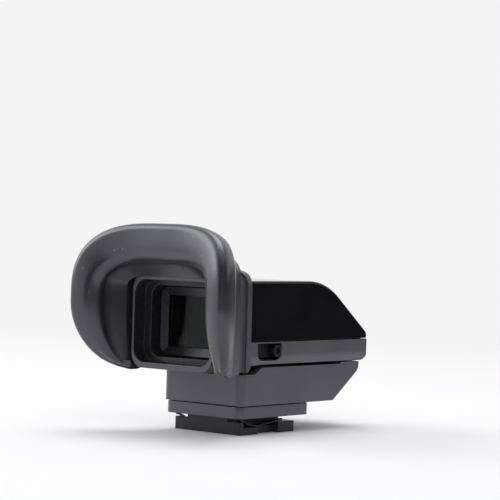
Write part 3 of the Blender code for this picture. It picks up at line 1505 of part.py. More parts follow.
def make_display():
    """The display behind the lenses: holder, mask, panel and driver board, and the head's own board."""
    holder_rear = barrel_front + SEAT_GAP
    holder_front = holder_rear + DISPLAY_HOLDER_DEPTH
    holder = block(
        "display_holder",
        (-holder_half, holder_rear, optic_z - DISPLAY_HOLDER_HEIGHT / 2),
        (holder_half, holder_front, optic_z + DISPLAY_HOLDER_HEIGHT / 2),
        dull_black,
    )
    opening = block(
        "display_opening",
        (-display_opening_half, holder_rear - OVERRUN, optic_z - DISPLAY_OPENING_HEIGHT / 2),
        (display_opening_half, holder_front + OVERRUN, optic_z + DISPLAY_OPENING_HEIGHT / 2),
    )
    seat_half = panel_half + SLIDE_GAP
    seat_rise = PANEL_HEIGHT / 2 + SLIDE_GAP
    seat = block(
        "display_seat",
        (-seat_half, holder_rear + DISPLAY_LIP, optic_z - seat_rise),
        (seat_half, holder_front + OVERRUN, optic_z + seat_rise),
    )
    cut(holder, opening, seat)

    def sheet(name, rear, thickness, surface):
        return block(
            name,
            (-panel_half, rear, optic_z - PANEL_HEIGHT / 2),
            (panel_half, rear + thickness, optic_z + PANEL_HEIGHT / 2),
            surface,
        )

    mask_rear = holder_rear + DISPLAY_LIP + CONTACT_GAP
    mask = sheet("display_mask", mask_rear, MASK_THICKNESS, chip_black)
    mask_front = mask_rear + MASK_THICKNESS
    sight = block(
        "mask_sight",
        (-display_opening_half, mask_rear - OVERRUN, optic_z - DISPLAY_OPENING_HEIGHT / 2),
        (display_opening_half, mask_front + OVERRUN, optic_z + DISPLAY_OPENING_HEIGHT / 2),
    )
    cut(mask, sight)
    panel_rear = mask_front + CONTACT_GAP
    panel = sheet("oled_panel", panel_rear, PANEL_THICKNESS, display_glass)
    driver_rear = panel_rear + PANEL_THICKNESS + CONTACT_GAP
    driver = sheet("display_driver_board", driver_rear, DRIVER_BOARD_THICKNESS, board_green)

    board_low = head_floor + BRACKET_THICKNESS + 3 * SEAT_GAP
    board_rear = holder_front + 2 * SEAT_GAP
    board = block(
        "head_board",
        (-HEAD_BOARD_WIDTH / 2, board_rear, board_low),
        (HEAD_BOARD_WIDTH / 2, board_rear + HEAD_BOARD_LENGTH, board_low + HEAD_BOARD_THICKNESS),
        board_green,
    )
    chip_low = board_low + HEAD_BOARD_THICKNESS + CONTACT_GAP
    chip = block(
        "head_chip",
        (-CHIP_SIZE / 2, -CHIP_SIZE / 2, 0),
        (CHIP_SIZE / 2, CHIP_SIZE / 2, CHIP_HEIGHT),
        chip_black,
    )
    chip_level = chip_low + CHIP_HEIGHT / 2
    chip_places = [(0, board_rear + CHIP_SIZE * step, chip_level) for step in (1, 2 + CHIP_PITCH_SHARE)]
    return [holder, mask, panel, driver, board, *copies(chip, chip_places)]


def make_flex():
    """The flex circuit: its fixed length from the base board up round the hinge, and the head's length."""
    centre = (hinge_y, hinge_z)
    thickness = FLEX_THICKNESS
    board_top = shell_bottom + BASE_BOARD_LIFT + BASE_BOARD_THICKNESS
    socket_front = BASE_BOARD_LENGTH / 2 - SEAT_GAP
    low = board_top + CONTACT_GAP + SOCKET_HEIGHT / 2
    under_bracket = bracket_top - BRACKET_THICKNESS - thickness - SEAT_GAP
    slot_edge = base_slot_box()[0][0] - SEAT_GAP
    bend = FLEX_BEND_RADIUS
    route = [(socket_front + SEAT_GAP, low), (plate_front - BASE_WALL, low)]
    route += [(slot_edge - 2 * bend, under_bracket)]
    route += arc((slot_edge, under_bracket + bend), bend, -math.pi / 2, 0)
    route += [(slot_edge + bend, base_top)]
    loop_start = tangent_angle(route[-1], centre, FLEX_LOOP_RADIUS, -1)
    route += arc(centre, FLEX_LOOP_RADIUS, loop_start, loop_start - math.pi, 2 * ARC_STEPS)
    half = FLEX_WIDTH / 2
    base_flex = strip_between("base_flex", route, thickness, -half, half, flex_amber)

    board_rear = barrel_front + SEAT_GAP + DISPLAY_HOLDER_DEPTH + 2 * SEAT_GAP
    board_low = head_floor + BRACKET_THICKNESS + 3 * SEAT_GAP
    start = (board_rear + HEAD_BOARD_LENGTH + SEAT_GAP, board_low)
    top = hinge_z + FLEX_LOOP_RADIUS + thickness + SEAT_GAP
    reach = 2 * FLEX_LOOP_RADIUS
    route = [start, (hinge_y - 2 * reach, board_low), (hinge_y - reach, top), (hinge_y, top)]
    head_flex = strip_between("head_flex", route, thickness, -half, half, flex_amber)
    return base_flex, head_flex


def carry(name, place, pieces):
    """Hang pieces on an empty that marks their joint, without moving them."""
    empty = bpy.data.objects.new(name, None)
    parts_collection.objects.link(empty)
    empty.location = place
    for piece in pieces:
        piece.parent = empty
        piece.matrix_parent_inverse = Matrix.Translation(-Vector(place))
    return empty


def build():
    make_foot()
    make_base()
    bracket = make_hinge()
    shells = make_head_shells()
    eyepiece = make_eyepiece()
    eyecup = make_eyecup()
    fixed_optics, lens_group = make_lens_group()
    lever, pivot_post = make_lever()
    display = make_display()
    _, head_flex = make_flex()
    head_pieces = [bracket, *shells, *eyepiece, *fixed_optics, pivot_post, *display, head_flex]
    tilt = carry("tilt_axis", (0, hinge_y, hinge_z), head_pieces)
    lever_axis = carry("lever_axis", (lever_outer, pivot_y, pivot_z), [lever])
    lens_axis = carry("lens_axis", (0, carrier_rear, optic_z), lens_group)
    cup_axis = carry("eyecup_axis", (0, frame_front, optic_z), eyecup)
    for axis in (lever_axis, lens_axis, cup_axis):
        axis.parent = tilt
        axis.matrix_parent_inverse = Matrix.Translation(-tilt.location)


build()
bpy.context.view_layer.update()
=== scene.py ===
# %% [markdown]
# # Dressing a clip-on electronic viewfinder
#
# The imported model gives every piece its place: a shoe foot, a base, a head that tips up on a hinge,
# an eyepiece with a rubber eyecup, and the optics inside. This script loads it as a fixed frame and
# gives the pieces that show their fine shape and their finish. Lengths here are in metres, as in the
# frame, and `MM` turns a maker's millimetres into them.

# %% Load the frame
import math

import bmesh
import bpy
from mathutils import Matrix, Vector


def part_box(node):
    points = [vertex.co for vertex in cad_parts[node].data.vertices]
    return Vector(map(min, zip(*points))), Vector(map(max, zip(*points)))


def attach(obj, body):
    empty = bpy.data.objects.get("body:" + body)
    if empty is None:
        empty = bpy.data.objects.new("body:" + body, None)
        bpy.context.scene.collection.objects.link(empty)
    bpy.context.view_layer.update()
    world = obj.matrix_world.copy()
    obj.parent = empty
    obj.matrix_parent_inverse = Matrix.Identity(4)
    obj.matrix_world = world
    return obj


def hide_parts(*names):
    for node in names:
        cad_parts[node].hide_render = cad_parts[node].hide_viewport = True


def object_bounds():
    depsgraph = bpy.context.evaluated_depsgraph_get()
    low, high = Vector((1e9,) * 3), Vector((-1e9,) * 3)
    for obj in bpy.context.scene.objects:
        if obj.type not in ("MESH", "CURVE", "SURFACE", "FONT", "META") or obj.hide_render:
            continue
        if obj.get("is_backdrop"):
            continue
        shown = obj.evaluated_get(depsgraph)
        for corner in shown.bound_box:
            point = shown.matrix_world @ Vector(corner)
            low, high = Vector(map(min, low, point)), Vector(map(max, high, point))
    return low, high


MM = 0.001
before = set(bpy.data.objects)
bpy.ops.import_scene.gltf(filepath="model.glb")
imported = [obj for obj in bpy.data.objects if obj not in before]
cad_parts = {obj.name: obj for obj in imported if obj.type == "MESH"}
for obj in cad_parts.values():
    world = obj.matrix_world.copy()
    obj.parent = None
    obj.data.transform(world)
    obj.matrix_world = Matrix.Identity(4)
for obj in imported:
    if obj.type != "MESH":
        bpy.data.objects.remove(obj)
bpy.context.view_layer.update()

# %% [markdown]
# ## The camera
#
# The picture looks at the eyepiece from the user's right, almost level with it. A camera is placed by
# a point and three turns: how far it is swung round the object, how far it looks down, and how far it
# leans. The lens comes from how strongly the picture's perspective closes in.

# %% Place the camera
VIEW_SWING = 0.7095
VIEW_DIP = 0.0065
VIEW_LEAN = 0.0288
VIEW_PLACE = (271.43 * MM, -312.84 * MM, 41.62 * MM)
FOCAL_LENGTH = 137.96
SENSOR_WIDTH = 36
CLIP_START = 10 * MM


def camera_axes(swing, dip, lean):
    """The camera's right, up and backward directions in the world."""
    forward = Vector((-math.sin(swing) * math.cos(dip), math.cos(swing) * math.cos(dip), -math.sin(dip)))
    level_right = Vector((math.cos(swing), math.sin(swing), 0))
    level_down = forward.cross(level_right)
    right = math.cos(lean) * level_right - math.sin(lean) * level_down
    down = math.sin(lean) * level_right + math.cos(lean) * level_down
    return right, -down, -forward


camera_data = bpy.data.cameras.new("camera")
camera_data.lens = FOCAL_LENGTH
camera_data.sensor_width = SENSOR_WIDTH
camera_data.clip_start = CLIP_START
camera = bpy.data.objects.new("camera", camera_data)
bpy.context.scene.collection.objects.link(camera)
axes = Matrix(camera_axes(VIEW_SWING, VIEW_DIP, VIEW_LEAN)).transposed()
camera.matrix_world = Matrix.Translation(VIEW_PLACE) @ axes.to_4x4()
bpy.context.scene.camera = camera
bpy.context.scene.view_settings.view_transform = "Standard"
print("camera at", [round(value / MM) for value in VIEW_PLACE], "mm")

# %% [markdown]
# ## Floor and light
#
# The product stands on a white sweep with no visible horizon. A large disc for the floor and a white
# world that the camera, glossy and see-through rays find do that without adding light: the lamps and
# the world's diffuse share alone light the object. A wide lamp overhead makes the soft shadow, and
# two weaker ones round off the sides. Black plastic shows little but what it reflects, so a curved
# wall of dark card stands on the camera's side, as in a photo studio, and a low one to the right.
# Only reflections see the cards: they darken the corners that face the camera and cast no shadow.

# %% Build the sweep and the lamps
FLOOR_RADIUS = 3.0
FLOOR_SIDES = 96
FLOOR_SHADE = (0.86, 0.86, 0.87, 1)
FLOOR_LIGHT = (0.89, 0.89, 0.90, 1)
FLOOR_PATCHES = 40
WORLD_FILL = 0.52
BACKGROUND_SHADE = (0.905, 0.905, 0.91, 1)
FADE_START = 0.12
FADE_END = 0.45
CARD_RADIUS = 0.24
CARD_STEP = 5
CARD_HEIGHT = 0.30
LOW_CARD_HEIGHT = 0.08
CARD_SHADE = (0.028, 0.028, 0.032, 1)
CARD_LIGHT = (0.040, 0.040, 0.045, 1)
CARD_PATCHES = 30
LAMP_WIDTH = 0.6
WIDE_LAMP_WIDTH = 0.62


def floor_disc():
    """A large pale disc under the foot."""
    bm = bmesh.new()
    bmesh.ops.create_circle(bm, cap_ends=True, segments=FLOOR_SIDES, radius=FLOOR_RADIUS)
    mesh = bpy.data.meshes.new("floor")
    bm.to_mesh(mesh)
    bm.free()
    obj = bpy.data.objects.new("floor", mesh)
    bpy.context.scene.collection.objects.link(obj)
    return obj


MIX_SHARE, MIX_FIRST, MIX_SECOND, MIX_RESULT = 0, 6, 7, 2


def add(nodes, kind, **values):
    """Add a node and set some of its inputs by name."""
    node = nodes.new(kind)
    for name, value in values.items():
        node.inputs[name.replace("_", " ")].default_value = value
    return node


def feed(links, socket, value):
    """Give a socket a number, a colour or another node's output."""
    if isinstance(value, bpy.types.NodeSocket):
        links.new(value, socket)
    else:
        socket.default_value = value


def calculated(nodes, links, operation, first, second):
    """One sum on two numbers or outputs."""
    made = nodes.new("ShaderNodeMath")
    made.operation = operation
    feed(links, made.inputs[0], first)
    feed(links, made.inputs[1], second)
    return made.outputs[0]


def mixed(nodes, links, share, first, second):
    """Blend two colours, either of which may come from another node."""
    made = nodes.new("ShaderNodeMix")
    made.data_type = "RGBA"
    for number, value in ((MIX_SHARE, share), (MIX_FIRST, first), (MIX_SECOND, second)):
        feed(links, made.inputs[number], value)
    return made.outputs[MIX_RESULT]


def place_source(nodes):
    """Coordinates in metres that stay with the piece."""
    return nodes.new("ShaderNodeTexCoord").outputs["Object"]


def noise(nodes, links, scale, detail=3.0):
    """Soft random patches of a given number per metre."""
    made = add(nodes, "ShaderNodeTexNoise", Scale=scale, Detail=detail)
    links.new(place_source(nodes), made.inputs["Vector"])
    return made.outputs["Fac"]


def spread(nodes, links, source, low, high, start=0.35, end=0.65):
    """Stretch a value so that start to end becomes low to high."""
    made = add(nodes, "ShaderNodeMapRange", From_Min=start, From_Max=end, To_Min=low, To_Max=high)
    links.new(source, made.inputs["Value"])
    return made.outputs["Result"]


def new_material(name):
    """An empty material with its nodes, links and shader at hand."""
    made = bpy.data.materials.new(name)
    made.use_nodes = True
    nodes = made.node_tree.nodes
    return made, nodes, made.node_tree.links, nodes["Principled BSDF"]


def sees_background(nodes, links):
    """One where a ray comes from the camera, a reflection or a refraction, and zero elsewhere."""
    path = nodes.new("ShaderNodeLightPath")
    seen = path.outputs["Is Camera Ray"]
    for name in ("Is Glossy Ray", "Is Transmission Ray"):
        seen = calculated(nodes, links, "MAXIMUM", seen, path.outputs[name])
    return seen


def white_world():
    """A world that shows as white and lights as a plain grey room."""
    world = bpy.data.worlds.new("studio")
    bpy.context.scene.world = world
    world.use_nodes = True
    nodes = world.node_tree.nodes
    links = world.node_tree.links
    background = nodes["Background"]
    background.inputs["Color"].default_value = BACKGROUND_SHADE
    strength = nodes.new("ShaderNodeMapRange")
    strength.inputs["To Min"].default_value = WORLD_FILL
    strength.inputs["To Max"].default_value = 1.0
    links.new(sees_background(nodes, links), strength.inputs["Value"])
    links.new(strength.outputs["Result"], background.inputs["Strength"])


def softbox(name, place, target, width, power):
    """A square soft lamp that faces a point."""
    data = bpy.data.lights.new(name, "AREA")
    data.shape = "SQUARE"
    data.size = width
    data.energy = power
    lamp = bpy.data.objects.new(name, data)
    bpy.context.scene.collection.objects.link(lamp)
    place = Vector(place)
    lamp.location = place
    lamp.rotation_euler = (Vector(target) - place).to_track_quat("-Z", "Y").to_euler()
    return lamp


def floor_material():
    """Matt white paper that holds a shadow near the product and runs into the white background."""
    made, nodes, links, shader = new_material("white_sweep")
    shader.inputs["Roughness"].default_value = 0.85
    shader.inputs["Specular IOR Level"].default_value = 0.1
    shade = mixed(nodes, links, noise(nodes, links, FLOOR_PATCHES), FLOOR_SHADE, FLOOR_LIGHT)
    links.new(shade, shader.inputs["Base Color"])
    distance = nodes.new("ShaderNodeVectorMath")
    distance.operation = "LENGTH"
    links.new(place_source(nodes), distance.inputs[0])
    far = spread(nodes, links, distance.outputs["Value"], 0, 1, FADE_START, FADE_END)
    glow = add(nodes, "ShaderNodeEmission", Color=BACKGROUND_SHADE)
    blend = nodes.new("ShaderNodeMixShader")
    links.new(calculated(nodes, links, "MULTIPLY", far, sees_background(nodes, links)), blend.inputs[0])
    links.new(shader.outputs["BSDF"], blend.inputs[1])
    links.new(glow.outputs["Emission"], blend.inputs[2])
    links.new(blend.outputs["Shader"], nodes["Material Output"].inputs["Surface"])
    return made


def dark_card(name, start, end, height):
    """A curved wall of dark card, from one bearing in degrees to another, that only reflections see."""
    bm = bmesh.new()
    rows = []
    for bearing in range(start, end + 1, CARD_STEP):
        x = CARD_RADIUS * math.cos(math.radians(bearing))
        y = CARD_RADIUS * math.sin(math.radians(bearing))
        rows.append([bm.verts.new((x, y, level)) for level in (0, height)])
    for a, b in zip(rows, rows[1:]):
        bm.faces.new((a[0], b[0], b[1], a[1]))
    mesh = bpy.data.meshes.new(name)
    bm.to_mesh(mesh)
    bm.free()
    obj = bpy.data.objects.new(name, mesh)
    bpy.context.scene.collection.objects.link(obj)
    obj.visible_camera = False
    obj.visible_diffuse = False
    obj.visible_transmission = False
    obj.visible_shadow = False
    mesh.materials.append(card_paper)
    return obj


def card_material():
    """Black card with a faint mottle."""
    made, nodes, links, shader = new_material("dark_card")
    shade = mixed(nodes, links, noise(nodes, links, CARD_PATCHES), CARD_SHADE, CARD_LIGHT)
    links.new(shade, shader.inputs["Base Color"])
    shader.inputs["Roughness"].default_value = 0.9
    return made


floor = floor_disc()
floor.data.materials.append(floor_material())
floor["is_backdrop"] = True
card_paper = card_material()
dark_card("camera_side_card", -100, 5, CARD_HEIGHT)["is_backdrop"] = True
dark_card("right_side_card", 5, 100, LOW_CARD_HEIGHT)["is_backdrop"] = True
white_world()
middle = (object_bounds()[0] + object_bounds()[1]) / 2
softbox("overhead", (-0.10, 0.12, 0.95), middle, WIDE_LAMP_WIDTH, 4.9)
softbox("left_fill", (-0.75, -0.35, 0.45), middle, LAMP_WIDTH, 3.0)
softbox("right_fill", (0.60, -0.60, 0.50), middle, LAMP_WIDTH, 1.6)
print("floor", FLOOR_RADIUS * 2, "m across, three lamps, two dark cards")

# %% [markdown]
# ## Ways to make a solid
#
# Moulded parts start as flat outlines: a side view pushed across, or a rear view pushed forward.
# Round stretches are arcs with many short steps, so that they shine smoothly. Boolean tools then take
# the windows and hollows out, and a narrow bevel breaks every edge that is left, because no moulded
# edge is perfectly sharp and that thin highlight is what makes plastic look real.

# %% Draw outlines
QUARTER = math.pi / 2


def arc(centre, radius, start, end, steps=12):
    """Points along an arc, with its angles in radians."""
    turn = (end - start) / steps
    angles = [start + turn * i for i in range(steps + 1)]
    return [(centre[0] + radius * math.cos(a), centre[1] + radius * math.sin(a)) for a in angles]


def rounded_rectangle(half_width, low, high, radius, far_radius=None, steps=12):
    """A rectangle about zero with round corners, which may differ on its high side."""
    far = radius if far_radius is None else far_radius
    return (
        arc((half_width - radius, low + radius), radius, -QUARTER, 0, steps)
        + arc((half_width - far, high - far), far, 0, QUARTER, steps)
        + arc((far - half_width, high - far), far, QUARTER, 2 * QUARTER, steps)
        + arc((radius - half_width, low + radius), radius, 2 * QUARTER, 3 * QUARTER, steps)
    )


def touch_angle(point, centre, radius, side):
    """Where on a circle the line from a point just touches it, on the side given as 1 or -1."""
    across = centre[0] - point[0]
    up = centre[1] - point[1]
    return math.atan2(-up, -across) + side * math.acos(radius / math.hypot(across, up))


print("a quarter arc has", len(arc((0, 0), MM, 0, QUARTER)), "points")

# %% Make solids
LATHE_SIDES = 64


def new_object(name, bm):
    """Turn a bmesh into a linked object with its faces out."""
    bmesh.ops.recalc_face_normals(bm, faces=bm.faces)
    mesh = bpy.data.meshes.new(name)
    bm.to_mesh(mesh)
    bm.free()
    obj = bpy.data.objects.new(name, mesh)
    bpy.context.scene.collection.objects.link(obj)
    return obj


def pushed(name, outline, low, high, along):
    """Push a closed outline along one axis, from low to high."""
    order = {"X": (2, 0, 1), "Y": (0, 2, 1), "Z": (0, 1, 2)}[along]
    bm = bmesh.new()
    ends = []
    for level in (low, high):
        points = [(a, b, level) for a, b in outline]
        ends.append([bm.verts.new([point[i] for i in order]) for point in points])
    count = len(outline)
    for i in range(count):
        j = (i + 1) % count
        bm.faces.new((ends[0][i], ends[0][j], ends[1][j], ends[1][i]))
    bm.faces.new(ends[0][::-1])
    bm.faces.new(ends[1])
    return new_object(name, bm)


def box(name, low, high):
    """A plain block, used to carve with."""
    outline = [(low[0], low[1]), (high[0], low[1]), (high[0], high[1]), (low[0], high[1])]
    return pushed(name, outline, low[2], high[2], "Z")


def spun(name, profile, origin, direction, sides=LATHE_SIDES):
    """Turn a profile of (radius, height) points about a direction, as on a lathe."""
    bm = bmesh.new()
    turn = Vector(direction).to_track_quat("Z", "Y").to_matrix().to_4x4()
    place = Matrix.Translation(origin) @ turn
    rows = []
    for radius, height in profile:
        steps = [2 * math.pi * i / sides for i in range(sides)]
        if radius == 0:
            rows.append([bm.verts.new(place @ Vector((0, 0, height)))])
        else:
            ring = [Vector((radius * math.cos(a), radius * math.sin(a), height)) for a in steps]
            rows.append([bm.verts.new(place @ point) for point in ring])
    closed = profile[0][0] > 0 and profile[-1][0] > 0
    pairs = list(zip(rows, rows[1:])) + ([(rows[-1], rows[0])] if closed else [])
    for row, following in pairs:
        for i in range(sides):
            j = (i + 1) % sides
            near = [row[number % len(row)] for number in (i, j)]
            far = [following[number % len(following)] for number in (j, i)]
            bm.faces.new(list(dict.fromkeys(near + far)))
    return new_object(name, bm)


print("a turned piece has", LATHE_SIDES, "sides unless it says otherwise")

# %% Carve and soften solids
BEVEL_ANGLE = 50
SHARP_ANGLE = 40
MOULD_ANGLE = 35
EVEN_WEIGHT = 100
STRAIGHT_ANGLE = 0.4
WELD = 0.002 * MM
BROKEN_EDGE = 0.08 * MM


def settled(obj):
    """Turn an object's modifiers into its mesh."""
    bpy.context.view_layer.update()
    graph = bpy.context.evaluated_depsgraph_get()
    mesh = bpy.data.meshes.new_from_object(obj.evaluated_get(graph))
    obj.modifiers.clear()
    obj.data = mesh
    return obj


def carve(obj, *tools, operation="DIFFERENCE"):
    """Use other solids as tools on this one, and then throw the tools away."""
    for tool in tools:
        step = obj.modifiers.new("carve", "BOOLEAN")
        step.operation = operation
        step.object = tool
        step.solver = "EXACT"
    settled(obj)
    for tool in tools:
        bpy.data.objects.remove(tool, do_unlink=True)
    return obj


def round_edges(obj, width, segments=3, angle=BEVEL_ANGLE):
    """Round the edges that are sharper than the angle in degrees."""
    step = obj.modifiers.new("rounding", "BEVEL")
    step.width = width
    step.segments = segments
    step.limit_method = "ANGLE"
    step.angle_limit = math.radians(angle)
    step.use_clamp_overlap = False
    return settled(obj)


def smooth(obj, sharp_angle=SHARP_ANGLE):
    """Shade round stretches smoothly and keep flat faces flat."""
    mesh = obj.data
    mesh.shade_smooth()
    mesh.set_sharp_from_angle(angle=math.radians(sharp_angle))
    step = obj.modifiers.new("even_shading", "WEIGHTED_NORMAL")
    step.keep_sharp = True
    step.weight = EVEN_WEIGHT
    return settled(obj)


def tidy(obj):
    """Weld what a boolean left apart, and drop points that lie along straight edges."""
    bm = bmesh.new()
    bm.from_mesh(obj.data)
    bmesh.ops.remove_doubles(bm, verts=bm.verts, dist=WELD)
    bmesh.ops.dissolve_limit(
        bm, angle_limit=math.radians(STRAIGHT_ANGLE), verts=bm.verts, edges=bm.edges,
    )
    bm.to_mesh(obj.data)
    bm.free()
    return obj


def moulded(obj, edge=BROKEN_EDGE, segments=2, angle=MOULD_ANGLE):
    """The last steps on a moulded part: tidy it, break its edges and shade it."""
    tidy(obj)
    round_edges(obj, edge, segments, angle)
    return smooth(obj)


def report(obj):
    """Print what was made, and how large it is."""
    size = [round(value / MM, 1) for value in obj.dimensions]
    print(obj.name, len(obj.data.polygons), "faces,", size, "mm")


print("edges are broken by", BROKEN_EDGE / MM, "mm unless a piece says otherwise")

# %% [markdown]
# ## Plastics and rubber
#
# Black is never one colour. Satin parts come from a mould that was etched, so they scatter light and
# carry a fine grain; the recesses that lead to the window, and the bezel in them, take a smoother and
# darker plastic, whose darkness is painted shade for the shadow deep in the recess; the top cover is
# polished and almost mirrors the room; the rubber is charcoal rather than black and holds dust. Each
# finish is a small node tree: slow noise varies the shade and the roughness, fast noise makes the grain
# as a bump, and cells of a Voronoi pattern place the dust.

# %% Mix the moulded finishes
DUST_COLOUR = (0.42, 0.43, 0.45, 1)
COOL_GLOSS = (0.88, 0.89, 1.0, 1)
DUST_CELLS = 600
SHADE_PATCHES = 90
GLOSS_PATCHES = 160
SPECK_CORE = 0.6


def dust(nodes, links, size, amount):
    """One on small round specks, in a share of the cells, each of a size that is a share of its cell."""
    cells = add(nodes, "ShaderNodeTexVoronoi", Scale=DUST_CELLS)
    links.new(place_source(nodes), cells.inputs["Vector"])
    near = spread(nodes, links, cells.outputs["Distance"], 1, 0, size * SPECK_CORE, size)
    parts = nodes.new("ShaderNodeSeparateColor")
    links.new(cells.outputs["Color"], parts.inputs["Color"])
    chosen = calculated(nodes, links, "LESS_THAN", parts.outputs["Red"], amount)
    return calculated(nodes, links, "MULTIPLY", near, chosen)


def bump(nodes, links, shader, height, depth):
    """Tilt the surface by a height pattern of the given depth in metres."""
    made = add(nodes, "ShaderNodeBump", Strength=1.0, Distance=depth)
    links.new(height, made.inputs["Height"])
    links.new(made.outputs["Normal"], shader.inputs["Normal"])


def moulded_finish(name, dark, light, rough, specular, grain=None, specks=None):
    """A moulded plastic or rubber: two close shades, uneven gloss, fine grain and dust.

    The grain is its bumps per metre and their depth, and the specks their size and share.
    """
    made, nodes, links, shader = new_material(name)
    patches = spread(nodes, links, noise(nodes, links, SHADE_PATCHES), 0, 1)
    shade = mixed(nodes, links, patches, (*dark, 1), (*light, 1))
    if specks:
        shade = mixed(nodes, links, dust(nodes, links, *specks), shade, DUST_COLOUR)
    links.new(shade, shader.inputs["Base Color"])
    gloss = spread(nodes, links, noise(nodes, links, GLOSS_PATCHES), *rough)
    links.new(gloss, shader.inputs["Roughness"])
    shader.inputs["Specular IOR Level"].default_value = specular
    shader.inputs["Specular Tint"].default_value = COOL_GLOSS
    if grain:
        bump(nodes, links, shader, noise(nodes, links, grain[0], 2.0), grain[1])
    return made


satin_plastic = moulded_finish(
    "satin_plastic", (0.056, 0.056, 0.066), (0.065, 0.065, 0.076), (0.30, 0.36), 0.8,
    grain=(9000, 0.004 * MM), specks=(0.05, 0.06),
)
frame_plastic = moulded_finish(
    "frame_plastic", (0.048, 0.048, 0.057), (0.055, 0.055, 0.065), (0.30, 0.36), 0.8,
    grain=(9000, 0.003 * MM), specks=(0.05, 0.05),
)
# Painted shade: this darker plastic stands in for the shadow deep in the eyepiece's recess and on the
# bezel there.
recess_painted_shade_plastic = moulded_finish(
    "recess_painted_shade_plastic", (0.012, 0.012, 0.0145), (0.016, 0.016, 0.019), (0.24, 0.30), 0.5,
    grain=(9000, 0.002 * MM), specks=(0.05, 0.05),
)
gloss_plastic = moulded_finish(
    "polished_plastic", (0.006, 0.006, 0.0075), (0.008, 0.008, 0.0098), (0.06, 0.10), 0.15,
    specks=(0.05, 0.08),
)
dull_plastic = moulded_finish(
    "dull_plastic", (0.006, 0.006, 0.007), (0.009, 0.009, 0.010), (0.55, 0.65), 0.3,
    grain=(8000, 0.004 * MM),
)
foot_plastic = moulded_finish(
    "foot_plastic", (0.018, 0.018, 0.0205), (0.022, 0.022, 0.0255), (0.30, 0.38), 0.35,
    grain=(9000, 0.003 * MM), specks=(0.05, 0.03),
)
rubber = moulded_finish(
    "charcoal_rubber", (0.012, 0.012, 0.0148), (0.016, 0.016, 0.0195), (0.27, 0.32), 0.85,
    grain=(5000, 0.0015 * MM), specks=(0.07, 0.35),
)
rubber_shader = rubber.node_tree.nodes["Principled BSDF"]
rubber_shader.inputs["Sheen Weight"].default_value = 0.20
rubber_shader.inputs["Sheen Roughness"].default_value = 0.35
rubber_shader.inputs["IOR"].default_value = 1.55
moulded_finishes = (
    satin_plastic, frame_plastic, recess_painted_shade_plastic, gloss_plastic, dull_plastic, foot_plastic, rubber,
)
print("moulded finishes:", len(moulded_finishes))

# %% [markdown]
# ## Glass, metal and circuit finishes
#
# The eyepiece window is thin coated glass: it lets the view through and reflects a little, with the
# green of its coating. A low index keeps the white floor from hiding the dark behind it. The metal
# pieces are bright steel, a dark steel whose darkness is painted shade on the springs in the gap under
# the base, and gold plate, whose fine brushing comes from noise stretched along one axis. Boards are
# green solder mask over copper tracks, and the flex circuit is amber film.

# %% Mix glass, metal and circuit finishes
COAT_WEIGHT = 0.1
COAT_ROUGHNESS = 0.04
WIPE_PATCHES = 220
BRUSH_STRETCH = (0.06, 1.0, 1.0)
BRUSH_DEPTH = 0.002 * MM
TRACK_SCALE = 900
TRACK_DEPTH = 0.01 * MM
TRACK_WIDTH, TRACK_BLUR = 0.09, 0.1
MASK_CHANGE = 0.9
BOARD_PATCHES = 300
BOARD_ROUGHNESS = (0.35, 0.45)
FILM_TRACKS = 700
FILM_PATCHES = 400
FILM_ROUGHNESS = (0.28, 0.38)


def glass_finish(name, tint, coat_tint, rough, index):
    """Clear glass with a coloured coating, a little uneven where it was wiped."""
    made, nodes, links, shader = new_material(name)
    shader.inputs["Base Color"].default_value = (*tint, 1)
    shader.inputs["Transmission Weight"].default_value = 1.0
    shader.inputs["IOR"].default_value = index
    shader.inputs["Coat Weight"].default_value = COAT_WEIGHT
    shader.inputs["Coat Roughness"].default_value = COAT_ROUGHNESS
    shader.inputs["Coat Tint"].default_value = (*coat_tint, 1)
    gloss = spread(nodes, links, noise(nodes, links, WIPE_PATCHES), *rough)
    links.new(gloss, shader.inputs["Roughness"])
    return made


def metal_finish(name, dark, light, rough, brush_scale):
    """Metal with fine brushing along the X axis."""
    made, nodes, links, shader = new_material(name)
    stretch = add(nodes, "ShaderNodeMapping", Scale=BRUSH_STRETCH)
    links.new(place_source(nodes), stretch.inputs["Vector"])
    lines = add(nodes, "ShaderNodeTexNoise", Scale=brush_scale, Detail=2.0)
    links.new(stretch.outputs["Vector"], lines.inputs["Vector"])
    shade = mixed(nodes, links, lines.outputs["Fac"], (*dark, 1), (*light, 1))
    links.new(shade, shader.inputs["Base Color"])
    links.new(spread(nodes, links, lines.outputs["Fac"], *rough), shader.inputs["Roughness"])
    shader.inputs["Metallic"].default_value = 1.0
    bump(nodes, links, shader, lines.outputs["Fac"], BRUSH_DEPTH)
    return made


def board_finish(name, mask, copper):
    """Green solder mask, a little lighter over the copper tracks under it."""
    made, nodes, links, shader = new_material(name)
    sizes = {"Scale": TRACK_SCALE, "Mortar_Size": TRACK_WIDTH, "Mortar_Smooth": TRACK_BLUR}
    tracks = add(nodes, "ShaderNodeTexBrick", **sizes)
    tracks.inputs["Color1"].default_value = (*mask, 1)
    tracks.inputs["Color2"].default_value = (*[value * MASK_CHANGE for value in mask], 1)
    tracks.inputs["Mortar"].default_value = (*copper, 1)
    links.new(place_source(nodes), tracks.inputs["Vector"])
    links.new(tracks.outputs["Color"], shader.inputs["Base Color"])
    gloss = spread(nodes, links, noise(nodes, links, BOARD_PATCHES), *BOARD_ROUGHNESS)
    links.new(gloss, shader.inputs["Roughness"])
    bump(nodes, links, shader, tracks.outputs["Fac"], TRACK_DEPTH)
    return made


